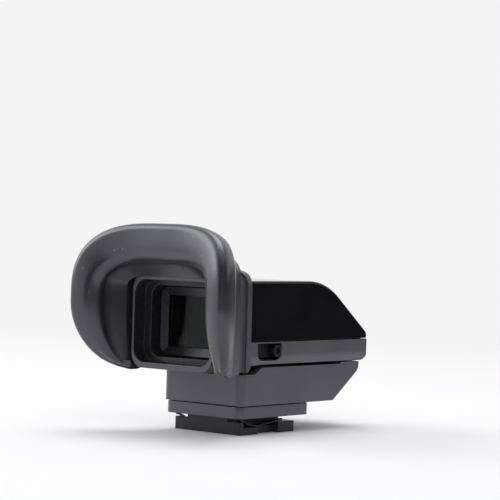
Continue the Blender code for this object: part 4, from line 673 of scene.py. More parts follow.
def film_finish(name, film, track):
    """Amber film with fine lengthwise tracks that show through it."""
    made, nodes, links, shader = new_material(name)
    waves = add(nodes, "ShaderNodeTexWave", Scale=FILM_TRACKS, Distortion=0.0)
    waves.bands_direction = "X"
    links.new(place_source(nodes), waves.inputs["Vector"])
    shade = mixed(nodes, links, waves.outputs["Fac"], (*film, 1), (*track, 1))
    links.new(shade, shader.inputs["Base Color"])
    gloss = spread(nodes, links, noise(nodes, links, FILM_PATCHES), *FILM_ROUGHNESS)
    links.new(gloss, shader.inputs["Roughness"])
    return made


window_glass = glass_finish("coated_window", (0.62, 0.66, 0.63), (0.80, 1.0, 0.86), (0.0, 0.01), 1.17)
lens_glass = glass_finish("coated_lens", (0.93, 0.98, 0.95), (0.55, 0.95, 0.7), (0.0, 0.008), 1.5)
panel_glass = moulded_finish(
    "panel_glass", (0.003, 0.003, 0.006), (0.005, 0.005, 0.009), (0.04, 0.07), 0.5,
)
steel = metal_finish("bright_steel", (0.50, 0.50, 0.51), (0.66, 0.66, 0.67), (0.22, 0.34), 14000)
# Painted shade: this dark steel on the springs stands in for the shadow in the gap under the base.
painted_shade_steel = metal_finish(
    "painted_shade_steel", (0.035, 0.035, 0.038), (0.055, 0.055, 0.058), (0.30, 0.40), 14000,
)
gold = metal_finish("gold_plate", (0.78, 0.56, 0.24), (0.88, 0.67, 0.33), (0.18, 0.28), 12000)
board = board_finish("green_board", (0.02, 0.10, 0.05), (0.05, 0.17, 0.08))
film = film_finish("amber_film", (0.42, 0.20, 0.05), (0.55, 0.30, 0.10))
resin = moulded_finish(
    "chip_resin", (0.02, 0.02, 0.02), (0.03, 0.03, 0.03), (0.5, 0.6), 0.35, grain=(6000, 0.004 * MM),
)
other_finishes = (
    window_glass, lens_glass, panel_glass, steel, painted_shade_steel, gold, board, film, resin,
)
print("glass, metal and circuit finishes:", len(other_finishes))

# %% [markdown]
# ## The rubber hood
#
# The eyecup's hood is an upside-down U that flares from a tight collar to a wide rolled rim, and turns
# back in to the frame. Its sides reach further back than its top, to wrap round the eye. It is drawn as
# a family of arches, one inside the next, and each arch as points from its top centre down to its tip,
# on a rounded square that the arch's squareness makes fuller or rounder. A smooth curve through the
# arches' own numbers gives as many in between as the shine needs, and a mirror makes the other half.

# %% Size the hood
cup_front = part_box("eyecup_base")[1].y
frame_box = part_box("eyepiece_frame")
optic_level = (frame_box[0].z + frame_box[1].z) / 2
HOOD_MIDDLE = 4.0 * MM
HOOD_TIP_SQUARENESS = 2.06
HOOD_SWEEP = 0.77
HOOD_START = 4.0 * MM
HOOD_REACH = 19.4 * MM
HOOD_RIM_HALF = 22.0 * MM
HOOD_RIM_TOP = 20.5 * MM
HOOD_TIP_REACH = 11.7 * MM
HOOD_TIP_FLARE = 1.0 * MM
HOOD_TIP_DROP = 10.7 * MM
HOOD_TIP_LIFT = 1.15 * MM
HOOD_TOP_SETBACK = 4.2 * MM
BORE_HALF = 12.8 * MM
BORE_TOP = 11.25 * MM
COLLAR_HALF = 13.4 * MM
COLLAR_TOP = 14.35 * MM
COLLAR_SQUARENESS = 5.4
LIP_SQUARENESS = 3.4
FRAME_REACH = 10.65 * MM
BORE_END = 7.3 * MM
FRAME_SIDE = 11.8 * MM
LIP_HALF = 12.9 * MM
LIP_TOP = 9.4 * MM
LIP_EASE = 0.3 * MM
HOOD_BETWEEN = 5
HOOD_TOP_STEPS = 40
HOOD_SIDE_STEPS = 44
HOOD_TIP_ROUND = 0.9 * MM
TIP_ROUND_SHARES = (0.33, 0.66, 0.9)
MERGE_REACH = 0.001 * MM

# From the collar to the rim: shares of the reach back, the growth out and up, the collar's squareness,
# the tip's reach and the tip's lift
HOOD_SHARES = (
    (0.14, 0.07, 0.06, 1.00, 0.31, 0.00),
    (0.28, 0.20, 0.22, 0.98, 0.54, 0.00),
    (0.43, 0.40, 0.45, 0.90, 0.67, 0.17),
    (0.55, 0.62, 0.66, 0.76, 0.78, 0.35),
    (0.66, 0.86, 0.86, 0.66, 0.86, 0.50),
    (0.77, 0.95, 0.96, 0.62, 0.91, 0.63),
    (0.877, 1.00, 1.00, 0.60, 0.94, 0.77),
    (0.938, 0.975, 0.965, 0.592, 0.97, 0.87),
    (0.983, 0.905, 0.862, 0.588, 0.99, 0.95),
    (1.00, 0.805, 0.725, 0.585, 1.00, 1.00),
)

# Inside the rim, in millimetres: half width, top, depth at side and top, and the tip's half and depth
HOOD_INSIDE = (
    (18.6, 15.4, 19.2, 15.5, 13.9, 11.3),
    (16.7, 13.7, 18.5, 15.1, 13.3, 11.2),
    (15.4, 12.7, 16.9, 14.1, 12.8, 11.0),
    (15.0, 12.4, 15.2, 13.3, 12.4, 10.7),
    (14.5, 11.9, 13.6, 12.4, 12.0, 10.1),
)
rim_depth = round((HOOD_REACH - HOOD_START) / MM, 1)
print("the hood's rim:", round(2 * HOOD_RIM_HALF / MM, 1), "mm wide,", rim_depth, "mm behind its root")


# %% Draw the arches of the hood
def hood_arches():
    """The hood's arches, from the outside of its collar over the rim to the bore.

    Each gives its half width, its top, its depth at side and top, its squareness, and its tip's half
    width, depth and drop.
    """
    tip_drop = HOOD_TIP_DROP - HOOD_TIP_LIFT / 2
    lifted = HOOD_TIP_DROP - HOOD_TIP_LIFT
    start = HOOD_START
    square = COLLAR_SQUARENESS
    arches = [(COLLAR_HALF, COLLAR_TOP, start, start, square, COLLAR_HALF, start, tip_drop)]
    for back, out, up, square_share, tip_back, tip_lift in HOOD_SHARES:
        depth = start + back * (HOOD_REACH - start)
        arches.append((
            COLLAR_HALF + out * (HOOD_RIM_HALF - COLLAR_HALF),
            COLLAR_TOP + up * (HOOD_RIM_TOP - COLLAR_TOP),
            depth,
            depth - back * HOOD_TOP_SETBACK,
            square * square_share,
            COLLAR_HALF + out * HOOD_TIP_FLARE,
            start + tip_back * (HOOD_TIP_REACH - start),
            HOOD_TIP_DROP - tip_lift * HOOD_TIP_LIFT,
        ))
    for row in HOOD_INSIDE:
        half, top, depth, top_depth, tip_half, tip_depth = (value * MM for value in row)
        arches.append((half, top, depth, top_depth, LIP_SQUARENESS, tip_half, tip_depth, lifted))
    reach = FRAME_REACH
    lip_tip, bore_tip = reach - 2 * LIP_EASE, BORE_END + LIP_EASE
    return arches + [
        (LIP_HALF, LIP_TOP, reach + LIP_EASE, reach, square, FRAME_SIDE, lip_tip, tip_drop),
        (BORE_HALF, BORE_TOP, reach - LIP_EASE, reach, square, FRAME_SIDE, bore_tip, tip_drop),
        (BORE_HALF, BORE_TOP, BORE_END, BORE_END, square, BORE_HALF, BORE_END, tip_drop),
        (BORE_HALF, BORE_TOP, start, start, square, BORE_HALF, start, tip_drop),
    ]


def smoothed(rows, first, last, between):
    """Add rows between the given ones on a smooth curve through them, and keep the others."""
    made = list(rows[:first])
    for i in range(first, last):
        a, b = rows[i], rows[i + 1]
        before = rows[max(i - 1, first)]
        after = rows[min(i + 2, last)]
        for step in range(between + 1):
            t = step / (between + 1)
            made.append(tuple(
                q + 0.5 * t * (r - p + t * (2 * p - 5 * q + 4 * r - s + t * (3 * (q - r) + s - p)))
                for p, q, r, s in zip(before, a, b, after)
            ))
    return made + list(rows[last:])


def arch_point(arch, station):
    """A point on the right half of an arch: 0 is its top centre, 1 its widest point and 2 its tip."""
    half, top, side_depth, top_depth, square, tip_half, tip_depth, tip_drop = arch
    if station <= 1:
        turn = QUARTER * (1 - station)
        across = math.cos(turn) if station > 0 else 0.0
        x = half * across ** (2 / square)
        z = HOOD_MIDDLE + (top - HOOD_MIDDLE) * math.sin(turn) ** (2 / square)
        depth = top_depth + (side_depth - top_depth) * across**2
    else:
        turn = QUARTER * (station - 1)
        fall = math.sin(turn) ** (2 / HOOD_TIP_SQUARENESS)
        fade = math.cos(turn) ** (2 / HOOD_TIP_SQUARENESS) if station < 2 else 0.0
        x = tip_half + (half - tip_half) * fade
        z = HOOD_MIDDLE - (HOOD_MIDDLE + tip_drop) * fall
        depth = tip_depth + (side_depth - tip_depth) * max(1 - fall * fall, 0) ** HOOD_SWEEP
    return Vector((x, cup_front - depth, optic_level + z))


def arch_solid(name, arches, top_steps, side_steps, tip_round=0.0):
    """Skin a closed loop of arches, round the tip off, and mirror the half."""
    stations = [i / top_steps for i in range(top_steps)]
    stations += [1 + i / side_steps for i in range(side_steps + 1)]
    rows = [[arch_point(arch, station) for arch in arches] for station in stations]
    end = rows[-1]
    centre = sum(end, Vector()) / len(end)
    if tip_round:
        rows[-1] = [point + Vector((0, 0, tip_round)) for point in end]
        for turn in TIP_ROUND_SHARES:
            inward = tip_round * (1 - math.cos(turn * QUARTER))
            rise = Vector((0, 0, tip_round * (1 - math.sin(turn * QUARTER))))
            row = []
            for point in end:
                way = centre - point
                row.append(point + way.normalized() * min(inward, way.length / 2) + rise)
            rows.append(row)
    bm = bmesh.new()
    made = [[bm.verts.new(point) for point in row] for row in rows]
    count = len(arches)
    for row, following in zip(made, made[1:]):
        for j in range(count):
            k = (j + 1) % count
            bm.faces.new((row[j], row[k], following[k], following[j]))
    if tip_round:
        tip = bm.verts.new(sum((vert.co for vert in made[-1]), Vector()) / count)
        for j in range(count):
            bm.faces.new((made[-1][j], made[-1][(j + 1) % count], tip))
    else:
        bm.faces.new(made[-1])
    obj = new_object(name, bm)
    mirror = obj.modifiers.new("other_half", "MIRROR")
    mirror.merge_threshold = MERGE_REACH
    mirror.use_clip = True
    settled(obj)
    bm = bmesh.new()
    bm.from_mesh(obj.data)
    bmesh.ops.recalc_face_normals(bm, faces=bm.faces)
    bm.to_mesh(obj.data)
    bm.free()
    return obj


# %% Skin the hood
last_curved = len(HOOD_SHARES) + len(HOOD_INSIDE) - 1
hood_rows = smoothed(hood_arches(), 1, last_curved, HOOD_BETWEEN)
hood = arch_solid("rubber_hood", hood_rows, HOOD_TOP_STEPS, HOOD_SIDE_STEPS, HOOD_TIP_ROUND)
smooth(hood, sharp_angle=50)
hood.data.materials.append(rubber)
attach(hood, "eyecup")
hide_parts("eyecup_hood")
report(hood)

# %% [markdown]
# ## The collar under the hood
#
# The hood is glued to a stiff arch that slips over the eyepiece frame. Only its front flange shows,
# as a ridge beside the groove in front of the rubber. The same arches draw it, lying flat one behind
# the other, and a side view with a round corner then cuts its two feet to shape.

# %% Draw the collar
COLLAR_INNER_HALF = 11.8 * MM
COLLAR_INNER_TOP = 10.25 * MM
COLLAR_OUTER_HALF = 12.5 * MM
COLLAR_OUTER_TOP = 10.95 * MM
FLANGE_HALF = 13.15 * MM
FLANGE_TOP = 11.6 * MM
FLANGE_DEPTH = 1.5 * MM
COLLAR_DEPTH = 7.0 * MM
COLLAR_TOP_STEPS = 40
COLLAR_SIDE_STEPS = 30
COLLAR_EDGE = 0.20 * MM
FLANGE_FOOT = 1.7 * MM


def plain_arch(half, top, depth):
    """An arch that lies flat, square to the optical axis."""
    return (half, top, depth, depth, COLLAR_SQUARENESS, half, depth, HOOD_TIP_DROP - HOOD_TIP_LIFT / 2)


collar = arch_solid(
    "eyecup_collar",
    [
        plain_arch(COLLAR_INNER_HALF, COLLAR_INNER_TOP, 0),
        plain_arch(FLANGE_HALF, FLANGE_TOP, 0),
        plain_arch(FLANGE_HALF, FLANGE_TOP, FLANGE_DEPTH),
        plain_arch(COLLAR_OUTER_HALF, COLLAR_OUTER_TOP, FLANGE_DEPTH),
        plain_arch(COLLAR_OUTER_HALF, COLLAR_OUTER_TOP, COLLAR_DEPTH),
        plain_arch(COLLAR_INNER_HALF, COLLAR_INNER_TOP, COLLAR_DEPTH),
    ],
    COLLAR_TOP_STEPS,
    COLLAR_SIDE_STEPS,
)
collar_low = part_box("eyecup_base")[0].z
foot_arc = arc((cup_front - FLANGE_FOOT, collar_low + FLANGE_FOOT), FLANGE_FOOT, -QUARTER, 0)
collar_back = cup_front - 2 * COLLAR_DEPTH
collar_high = optic_level + 2 * FLANGE_TOP
side_view = [(collar_back, collar_low)] + foot_arc
side_view += [(cup_front, collar_high), (collar_back, collar_high)]
side_tool = pushed("side_view", side_view, -2 * FLANGE_HALF, 2 * FLANGE_HALF, "X")
carve(collar, side_tool, operation="INTERSECT")
round_edges(collar, COLLAR_EDGE)
smooth(collar)
collar.data.materials.append(frame_plastic)
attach(collar, "eyecup")
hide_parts("eyecup_base")
report(collar)

# %% [markdown]
# ## The head's two shells
#
# The head is closed by a satin lower housing, which carries the focusing lever's window, and a gloss
# cover whose top runs level and then curves down to a low nose. Both start as a side view that is
# pushed across, because that view holds nearly all of their shape. The cover's long edges get a
# generous round, and the lower housing curves in a little towards its floor.

# %% Shape the top cover
cover_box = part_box("head_top_cover")
lower_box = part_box("head_lower_housing")
HEAD_WALL = 0.9 * MM
TONGUE_WALL = 0.4 * MM
TONGUE_RISE = 0.6 * MM
TONGUE_ROOT = 0.5 * MM
BODY_HALF = lower_box[1].x
HEAD_REAR = lower_box[0].y
HEAD_FRONT = lower_box[1].y
SEAM_LEVEL = lower_box[1].z - TONGUE_RISE
COVER_BOTTOM = cover_box[0].z
COVER_TOP = cover_box[1].z
COVER_EDGE = 0.7 * MM
COVER_LEVEL_LENGTH = 21.5 * MM
COVER_CURVE = 16.6 * MM
NOSE_HEIGHT = 1.6 * MM
NOSE_STEP = 0.4 * MM
COVER_BREAK = 0.06 * MM
COVER_CURVE_STEPS = 14
SPARE = 1.0 * MM


def cover_outline(inset=0.0):
    """The cover's side view as (y, z), or with an inset the hollow inside it."""
    overlap = 2 * SPARE if inset == 0 else SPARE
    rear = HEAD_REAR - overlap
    low = COVER_BOTTOM - overlap
    front = HEAD_FRONT - NOSE_STEP / 2 - inset
    centre = (HEAD_REAR + COVER_LEVEL_LENGTH, COVER_TOP - COVER_CURVE)
    radius = COVER_CURVE - inset
    nose = (front - NOSE_STEP, COVER_BOTTOM + NOSE_HEIGHT)
    start = touch_angle(nose, centre, radius, 1)
    outline = [(rear, low), (front, low), (front, nose[1] - NOSE_STEP), nose]
    return outline + arc(centre, radius, start, QUARTER, COVER_CURVE_STEPS) + [(rear, COVER_TOP - inset)]


def beyond(name, low_y, high_y, low_z, high_z):
    """A block wider than the head, to cut its ends off with."""
    wide = BODY_HALF + SPARE
    return box(name, (-wide, low_y, low_z), (wide, high_y, high_z))


cover = pushed("gloss_cover", cover_outline(), -BODY_HALF, BODY_HALF, "X")
round_edges(cover, COVER_EDGE, 8)
cover_hollow = pushed(
    "hollow", cover_outline(HEAD_WALL), HEAD_WALL - BODY_HALF, BODY_HALF - HEAD_WALL, "X",
)
under = beyond(
    "under", HEAD_REAR - 3 * SPARE, HEAD_FRONT + SPARE, COVER_BOTTOM - 3 * SPARE, COVER_BOTTOM,
)
behind = beyond("behind", HEAD_REAR - 3 * SPARE, HEAD_REAR, COVER_BOTTOM - SPARE, COVER_TOP + SPARE)
carve(cover, cover_hollow, under, behind)
moulded(cover, COVER_BREAK)
cover.data.materials.append(gloss_plastic)
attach(cover, "head")
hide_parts("head_top_cover")
report(cover)

# %% Size the lower housing
BAND_HEIGHT = 4.8 * MM
HEAD_BOTTOM = SEAM_LEVEL - BAND_HEIGHT
HEAD_FLOOR = HEAD_BOTTOM + HEAD_WALL
HINGE_CORNER = 2.4 * MM
HINGE_CENTRE = (HEAD_FRONT - HINGE_CORNER, HEAD_BOTTOM + HINGE_CORNER)
BAND_DROP = 0.3 * MM
BAND_LENGTH = 3.1 * MM
BAND_RAMP = 2.6 * MM
SIDE_TUCK = 0.45 * MM
SIDE_TUCK_HEIGHT = 2.4 * MM
SLOT_REAR = HEAD_REAR + 4.2 * MM
SLOT_FRONT = SLOT_REAR + 7.9 * MM
SLOT_SILL = HEAD_BOTTOM + 0.85 * MM
SLOT_CORNER = 1.8 * MM
SLOT_STRIP = 0.3 * MM
TONGUE_GAP = 0.2 * MM
TONGUE_HALF = BODY_HALF - HEAD_WALL - TONGUE_GAP
TONGUE_REAR = frame_box[1].y + TONGUE_GAP
TONGUE_FRONT = HEAD_FRONT - NOSE_STEP / 2 - HEAD_WALL - TONGUE_GAP
EAR_INNER = 6.5 * MM
EAR_OUTER = 7.9 * MM
EAR_ROOM = 0.3 * MM
EAR_SLOT_LENGTH = 4.4 * MM
EAR_SLOT_RISE = 2.2 * MM
FLEX_HALF = 2.5 * MM
SECTION_ROUND = 0.4 * MM
SINK_RADIUS = 0.86 * MM
SINK_DEPTH = 0.66 * MM
HOLE_RADIUS = 0.51 * MM
HOLE_SIDES = 24
print("the band is", BAND_HEIGHT / MM, "mm high")


# %% Draw the lower housing's outlines
def lower_outline():
    """The lower housing's side view as (y, z), carried on above its seam."""
    rear = HEAD_REAR - 2 * SPARE
    top = SEAM_LEVEL + TONGUE_RISE + 2 * SPARE
    band_end = HEAD_REAR + BAND_LENGTH
    low = HEAD_BOTTOM - BAND_DROP
    outline = [(rear, low), (band_end, low), (band_end + BAND_RAMP, HEAD_BOTTOM)]
    return outline + arc(HINGE_CENTRE, HINGE_CORNER, -QUARTER, 0, 20) + [(HEAD_FRONT, top), (rear, top)]


def lower_section():
    """The lower housing seen from behind as (x, z), with its sides curved in towards the floor."""
    low = HEAD_BOTTOM - BAND_DROP
    radius = (SIDE_TUCK**2 + SIDE_TUCK_HEIGHT**2) / (2 * SIDE_TUCK)
    start = -math.asin(SIDE_TUCK_HEIGHT / radius)
    right = arc((BODY_HALF - radius, low + SIDE_TUCK_HEIGHT), radius, start, 0, 4)
    right.append((BODY_HALF, SEAM_LEVEL + TONGUE_RISE + 3 * SPARE))
    return right + [(-x, z) for x, z in reversed(right)]


def lower_hollow():
    """The hollow in the lower housing as (y, z), up to the root of its tongue."""
    top = SEAM_LEVEL - TONGUE_ROOT
    outline = [(HEAD_REAR - SPARE, HEAD_FLOOR)]
    outline += arc(HINGE_CENTRE, HINGE_CORNER - HEAD_WALL, -QUARTER, 0)
    return outline + [(HEAD_FRONT - HEAD_WALL, top), (HEAD_REAR - SPARE, top)]


def tongue_outline():
    """Outside plan of the tongue that stands behind the seam, as (x, y)."""
    rear = [(-TONGUE_HALF, TONGUE_REAR), (TONGUE_HALF, TONGUE_REAR)]
    return rear + [(TONGUE_HALF, TONGUE_FRONT), (-TONGUE_HALF, TONGUE_FRONT)]


def tongue_hollow():
    """Plan of the hollow inside the tongue, wider at its rear for the eyepiece's spigot."""
    inner_half = BODY_HALF - HEAD_WALL
    half = TONGUE_HALF - TONGUE_WALL
    front = TONGUE_FRONT - TONGUE_WALL
    right = [(inner_half, HEAD_REAR - SPARE), (inner_half, TONGUE_REAR)]
    right += [(half, TONGUE_REAR), (half, front)]
    return right + [(-x, y) for x, y in reversed(right)]


def lever_window():
    """The window that the lever's knob runs in, as (y, z), closed just under the seam."""
    top = SEAM_LEVEL - SLOT_STRIP
    level = SLOT_SILL + SLOT_CORNER
    outline = [(SLOT_FRONT, top), (SLOT_REAR, top)]
    outline += arc((SLOT_REAR + SLOT_CORNER, level), SLOT_CORNER, 2 * QUARTER, 3 * QUARTER)
    return outline + arc((SLOT_FRONT - SLOT_CORNER, level), SLOT_CORNER, 3 * QUARTER, 4 * QUARTER)


print("the lever's window:", round((SLOT_FRONT - SLOT_REAR) / MM, 1), "mm long")

# %% Shape the lower housing
lower = pushed("satin_lower_housing", lower_outline(), -BODY_HALF, BODY_HALF, "X")
section = pushed("section", lower_section(), HEAD_REAR - 3 * SPARE, HEAD_FRONT + SPARE, "Y")
round_edges(section, SECTION_ROUND, 5)
footprint_outline = rounded_rectangle(BODY_HALF, HEAD_REAR - 3 * SPARE, HEAD_FRONT, COVER_EDGE)
footprint = pushed("footprint", footprint_outline, HEAD_BOTTOM - SPARE, SEAM_LEVEL + 4 * SPARE, "Z")
carve(lower, section, footprint, operation="INTERSECT")
slot_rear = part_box("base_housing")[1].y - EAR_SLOT_LENGTH
slot_top = HINGE_CENTRE[1] + EAR_SLOT_RISE
slots = [
    box(
        "ear_slot",
        (min(a, b), slot_rear, HEAD_BOTTOM - SPARE),
        (max(a, b), HEAD_FRONT + SPARE, slot_top),
    )
    for a, b in (
        (EAR_INNER - EAR_ROOM, EAR_OUTER + EAR_ROOM),
        (-EAR_OUTER - EAR_ROOM, EAR_ROOM - EAR_INNER),
        (-FLEX_HALF - EAR_ROOM, FLEX_HALF + EAR_ROOM),
    )
]
tongue_top = SEAM_LEVEL + TONGUE_RISE
shoulder = beyond("shoulder", HEAD_REAR - 3 * SPARE, HEAD_FRONT + SPARE, SEAM_LEVEL, tongue_top + SPARE)
carve(shoulder, pushed("tongue", tongue_outline(), SEAM_LEVEL - SPARE, tongue_top + 2 * SPARE, "Z"))
carve(
    lower,
    pushed("hollow", lower_hollow(), HEAD_WALL - BODY_HALF, BODY_HALF - HEAD_WALL, "X"),
    pushed("upper_hollow", tongue_hollow(), SEAM_LEVEL - TONGUE_ROOT - SPARE, tongue_top + SPARE, "Z"),
    shoulder,
    beyond("above", HEAD_REAR - 3 * SPARE, HEAD_FRONT + SPARE, tongue_top, SEAM_LEVEL + 5 * SPARE),
    beyond("behind", HEAD_REAR - 3 * SPARE, HEAD_REAR, HEAD_BOTTOM - 2 * SPARE, tongue_top + SPARE),
    pushed("window", lever_window(), TONGUE_HALF - TONGUE_WALL - SPARE / 2, BODY_HALF + SPARE, "X"),
    *slots,
)


def drill(name, radius, depth, place):
    """A round tool that stands up into a piece from a place on its underside."""
    profile = [(0, depth), (radius, depth), (radius, -SPARE), (0, -SPARE)]
    return spun(name, profile, place, (0, 0, 1), HOLE_SIDES)


for number in (1, 2, 3, 4):
    low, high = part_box(f"head_screw_{number}")
    centre = (low + high) / 2
    place = (centre.x, centre.y, HEAD_BOTTOM)
    sink = drill("sink", SINK_RADIUS, SINK_DEPTH, place)
    carve(lower, sink, drill("hole", HOLE_RADIUS, 2 * SPARE, place))
moulded(lower)
lower.data.materials.append(satin_plastic)
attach(lower, "head")
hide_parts("head_lower_housing")
report(lower)

# %% [markdown]
# ## The eyepiece
#
# Inside the eyecup sits a frame with two stepped recesses that lead the eye to a bevelled bezel and
# the window. It is a round-cornered block that is carved from behind, one recess inside the other.
# The steps are what the eye sees first inside the cup, so each of their edges is rounded enough to
# catch a line of light. The frame's outside is satin like the head, and its recess faces, picked out
# face by face, take a darker plastic as painted shade for the shadow that falls deep in the recess.

# %% Shape the eyepiece frame
FRAME_HALF = frame_box[1].x
FRAME_REAR = frame_box[0].y
FRAME_GAP = 0.3 * MM
FRAME_FRONT = HEAD_REAR - FRAME_GAP
FRAME_BREAK = 0.16 * MM
FRAME_RISE = frame_box[1].z - optic_level
FRAME_CORNER = 3.2 * MM
RECESS_HALF, RECESS_RISE, RECESS_DEEP, RECESS_CORNER = (value * MM for value in (10.9, 8.7, 3.3, 3.0))
LEDGE_HALF, LEDGE_RISE, LEDGE_CORNER = (value * MM for value in (8.95, 7.5, 2.2))
LEDGE_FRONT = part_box("eyepiece_window")[1].y + FRAME_GAP
TUNNEL_HALF, TUNNEL_RISE = 7.4 * MM, 5.9 * MM
SPIGOT_ROOM = 0.2 * MM
SPIGOT_HALF = BODY_HALF - HEAD_WALL - SPIGOT_ROOM
SPIGOT_RISE = optic_level - HEAD_FLOOR - SPIGOT_ROOM
FACE_DEPTH = 0.2 * MM
FACE_ALLOWANCE = 0.01 * MM


def on_axis(half, rise, corner):
    """A round-cornered rectangle about the optical axis, as (x, z)."""
    return rounded_rectangle(half, optic_level - rise, optic_level + rise, corner)


frame_outline = on_axis(FRAME_HALF, FRAME_RISE, FRAME_CORNER)
spigot_outline = on_axis(SPIGOT_HALF, SPIGOT_RISE, COVER_EDGE)
recess_outline = on_axis(RECESS_HALF, RECESS_RISE, RECESS_CORNER)
ledge_outline = on_axis(LEDGE_HALF, LEDGE_RISE, LEDGE_CORNER)
eyepiece = pushed("eyepiece_surround", frame_outline, FRAME_REAR, FRAME_FRONT, "Y")
spigot = pushed("spigot", spigot_outline, FRAME_FRONT - SPARE, frame_box[1].y, "Y")
carve(eyepiece, spigot, operation="UNION")
carve(
    eyepiece,
    pushed("recess", recess_outline, FRAME_REAR - SPARE, FRAME_REAR + RECESS_DEEP, "Y"),
    pushed("ledge", ledge_outline, FRAME_REAR + SPARE, LEDGE_FRONT, "Y"),
    box(
        "tunnel",
        (-TUNNEL_HALF, FRAME_REAR, optic_level - TUNNEL_RISE),
        (TUNNEL_HALF, frame_box[1].y + SPARE, optic_level + TUNNEL_RISE),
    ),
)
moulded(eyepiece, FRAME_BREAK, 3)
eyepiece.data.materials.append(frame_plastic)
# Painted shade: the second, darker plastic goes on the faces inside the recess, for the shadow that
# falls there.
eyepiece.data.materials.append(recess_painted_shade_plastic)
for face in eyepiece.data.polygons:
    beside = abs(face.center.x) < RECESS_HALF + FACE_ALLOWANCE
    level = abs(face.center.z - optic_level) < RECESS_RISE + FACE_ALLOWANCE
    if beside and level and face.center.y > FRAME_REAR + FACE_DEPTH:
        face.material_index = 1
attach(eyepiece, "head")
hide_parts("eyepiece_frame")
report(eyepiece)

# %% Shape the bezel
bezel_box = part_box("window_bezel")
SIGHT_HALF, SIGHT_RISE = 7.1 * MM, 5.45 * MM
BEZEL_LIP = 0.08 * MM
BEZEL_BREAK = 0.03 * MM
TAPER_START = 0.001 * MM
BEZEL_HALF = bezel_box[1].x
BEZEL_RISE = bezel_box[1].z - optic_level


def tapered_tool(near, far, near_y, far_y):
    """A block whose ends differ, used to bevel an opening."""
    bm = bmesh.new()
    ends = []
    for (half, rise), y in ((near, near_y), (far, far_y)):
        signs = ((-1, -1), (1, -1), (1, 1), (-1, 1))
        ends.append([bm.verts.new((a * half, y, optic_level + b * rise)) for a, b in signs])
    for i in range(4):
        j = (i + 1) % 4
        bm.faces.new((ends[0][i], ends[0][j], ends[1][j], ends[1][i]))
    bm.faces.new(ends[0][::-1])
    bm.faces.new(ends[1])
    return new_object("taper", bm)


bezel_outline = on_axis(BEZEL_HALF, BEZEL_RISE, LEDGE_CORNER)
bezel_rear, bezel_front = bezel_box[0].y, bezel_box[1].y
bezel = pushed("mitred_bezel", bezel_outline, bezel_rear, bezel_front, "Y")
near = (BEZEL_HALF - BEZEL_LIP, BEZEL_RISE - BEZEL_LIP)
far = (SIGHT_HALF, SIGHT_RISE)
taper = tapered_tool(near, far, bezel_rear - TAPER_START, bezel_front - BEZEL_LIP)
sight = box(
    "sight",
    (-SIGHT_HALF, bezel_rear - SPARE, optic_level - SIGHT_RISE),
    (SIGHT_HALF, bezel_front + SPARE, optic_level + SIGHT_RISE),
)
carve(bezel, sight, taper)
moulded(bezel, BEZEL_BREAK, 2, 15)
# Painted shade: the bezel takes the same darker plastic as the shadowed recess around it.
bezel.data.materials.append(recess_painted_shade_plastic)
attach(bezel, "head")
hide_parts("window_bezel")
report(bezel)

# %% Shape the window
WINDOW_BREAK = 0.12 * MM
window_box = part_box("eyepiece_window")
window_outline = on_axis(window_box[1].x, window_box[1].z - optic_level, LEDGE_CORNER)
window = pushed("clear_window", window_outline, window_box[0].y, window_box[1].y, "Y")
moulded(window, WINDOW_BREAK)
window.data.materials.append(window_glass)
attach(window, "head")
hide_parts("eyepiece_window")
report(window)

# %% [markdown]
# ## The base
#
# The base is one moulded box with a long overhanging chin, closed from below by a flat plate that sits
# a little inside its outline. Its side view holds the shape again, and crossing it with the plan gives
# the upright corners, which are rounder at the rear than at the front.

# %% Shape the base housing
base_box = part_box("base_housing")
plate_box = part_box("base_lower_plate")
BASE_REAR = base_box[0].y
BASE_FRONT = base_box[1].y
SHELL_BOTTOM = base_box[0].z
PAD_TOP = base_box[1].z
PAD_RISE = 0.40 * MM
BASE_TOP = PAD_TOP - PAD_RISE
PAD_START = BASE_FRONT - 6.4 * MM
STEP_LEVEL = BASE_TOP - 1.38 * MM
STEP_END = BASE_REAR + 4.6 * MM
RAMP_END = STEP_END + 2.4 * MM
CHIN_FRONT = plate_box[1].y + 7.6 * MM
CHIN_CURVE = 3.2 * MM
BASE_WALL = 1.1 * MM
BASE_EDGE = 0.3 * MM
BASE_REAR_CORNER = 1.8 * MM
BASE_FRONT_CORNER = 0.7 * MM
BASE_BREAK = 0.05 * MM
PLATE_CORNER = 1.7 * MM
PLATE_BREAK = 0.10 * MM
PLATE_HOLE_RADIUS = 1.0 * MM
ROOF_SLOT_LENGTH = 3.2 * MM
FLEX_ROOM = 0.2 * MM
ROUND_STEPS = 16


def base_outline(inset=0.0):
    """The base's side view as (y, z), or with an inset the hollow inside it."""
    low = SHELL_BOTTOM + inset
    lip = (CHIN_FRONT - inset, low)
    centre = (BASE_FRONT - CHIN_CURVE, PAD_TOP)
    radius = CHIN_CURVE - inset
    start = touch_angle(lip, centre, radius, 1)
    outline = [(BASE_REAR + inset, low), lip] + arc(centre, radius, start, math.asin(-inset / radius), 7)
    outline += [(PAD_START, PAD_TOP - inset), (PAD_START - PAD_RISE, BASE_TOP - inset)]
    outline += [(RAMP_END + inset, BASE_TOP - inset), (STEP_END + inset, STEP_LEVEL - inset)]
    return outline + [(BASE_REAR + inset, STEP_LEVEL - inset)]


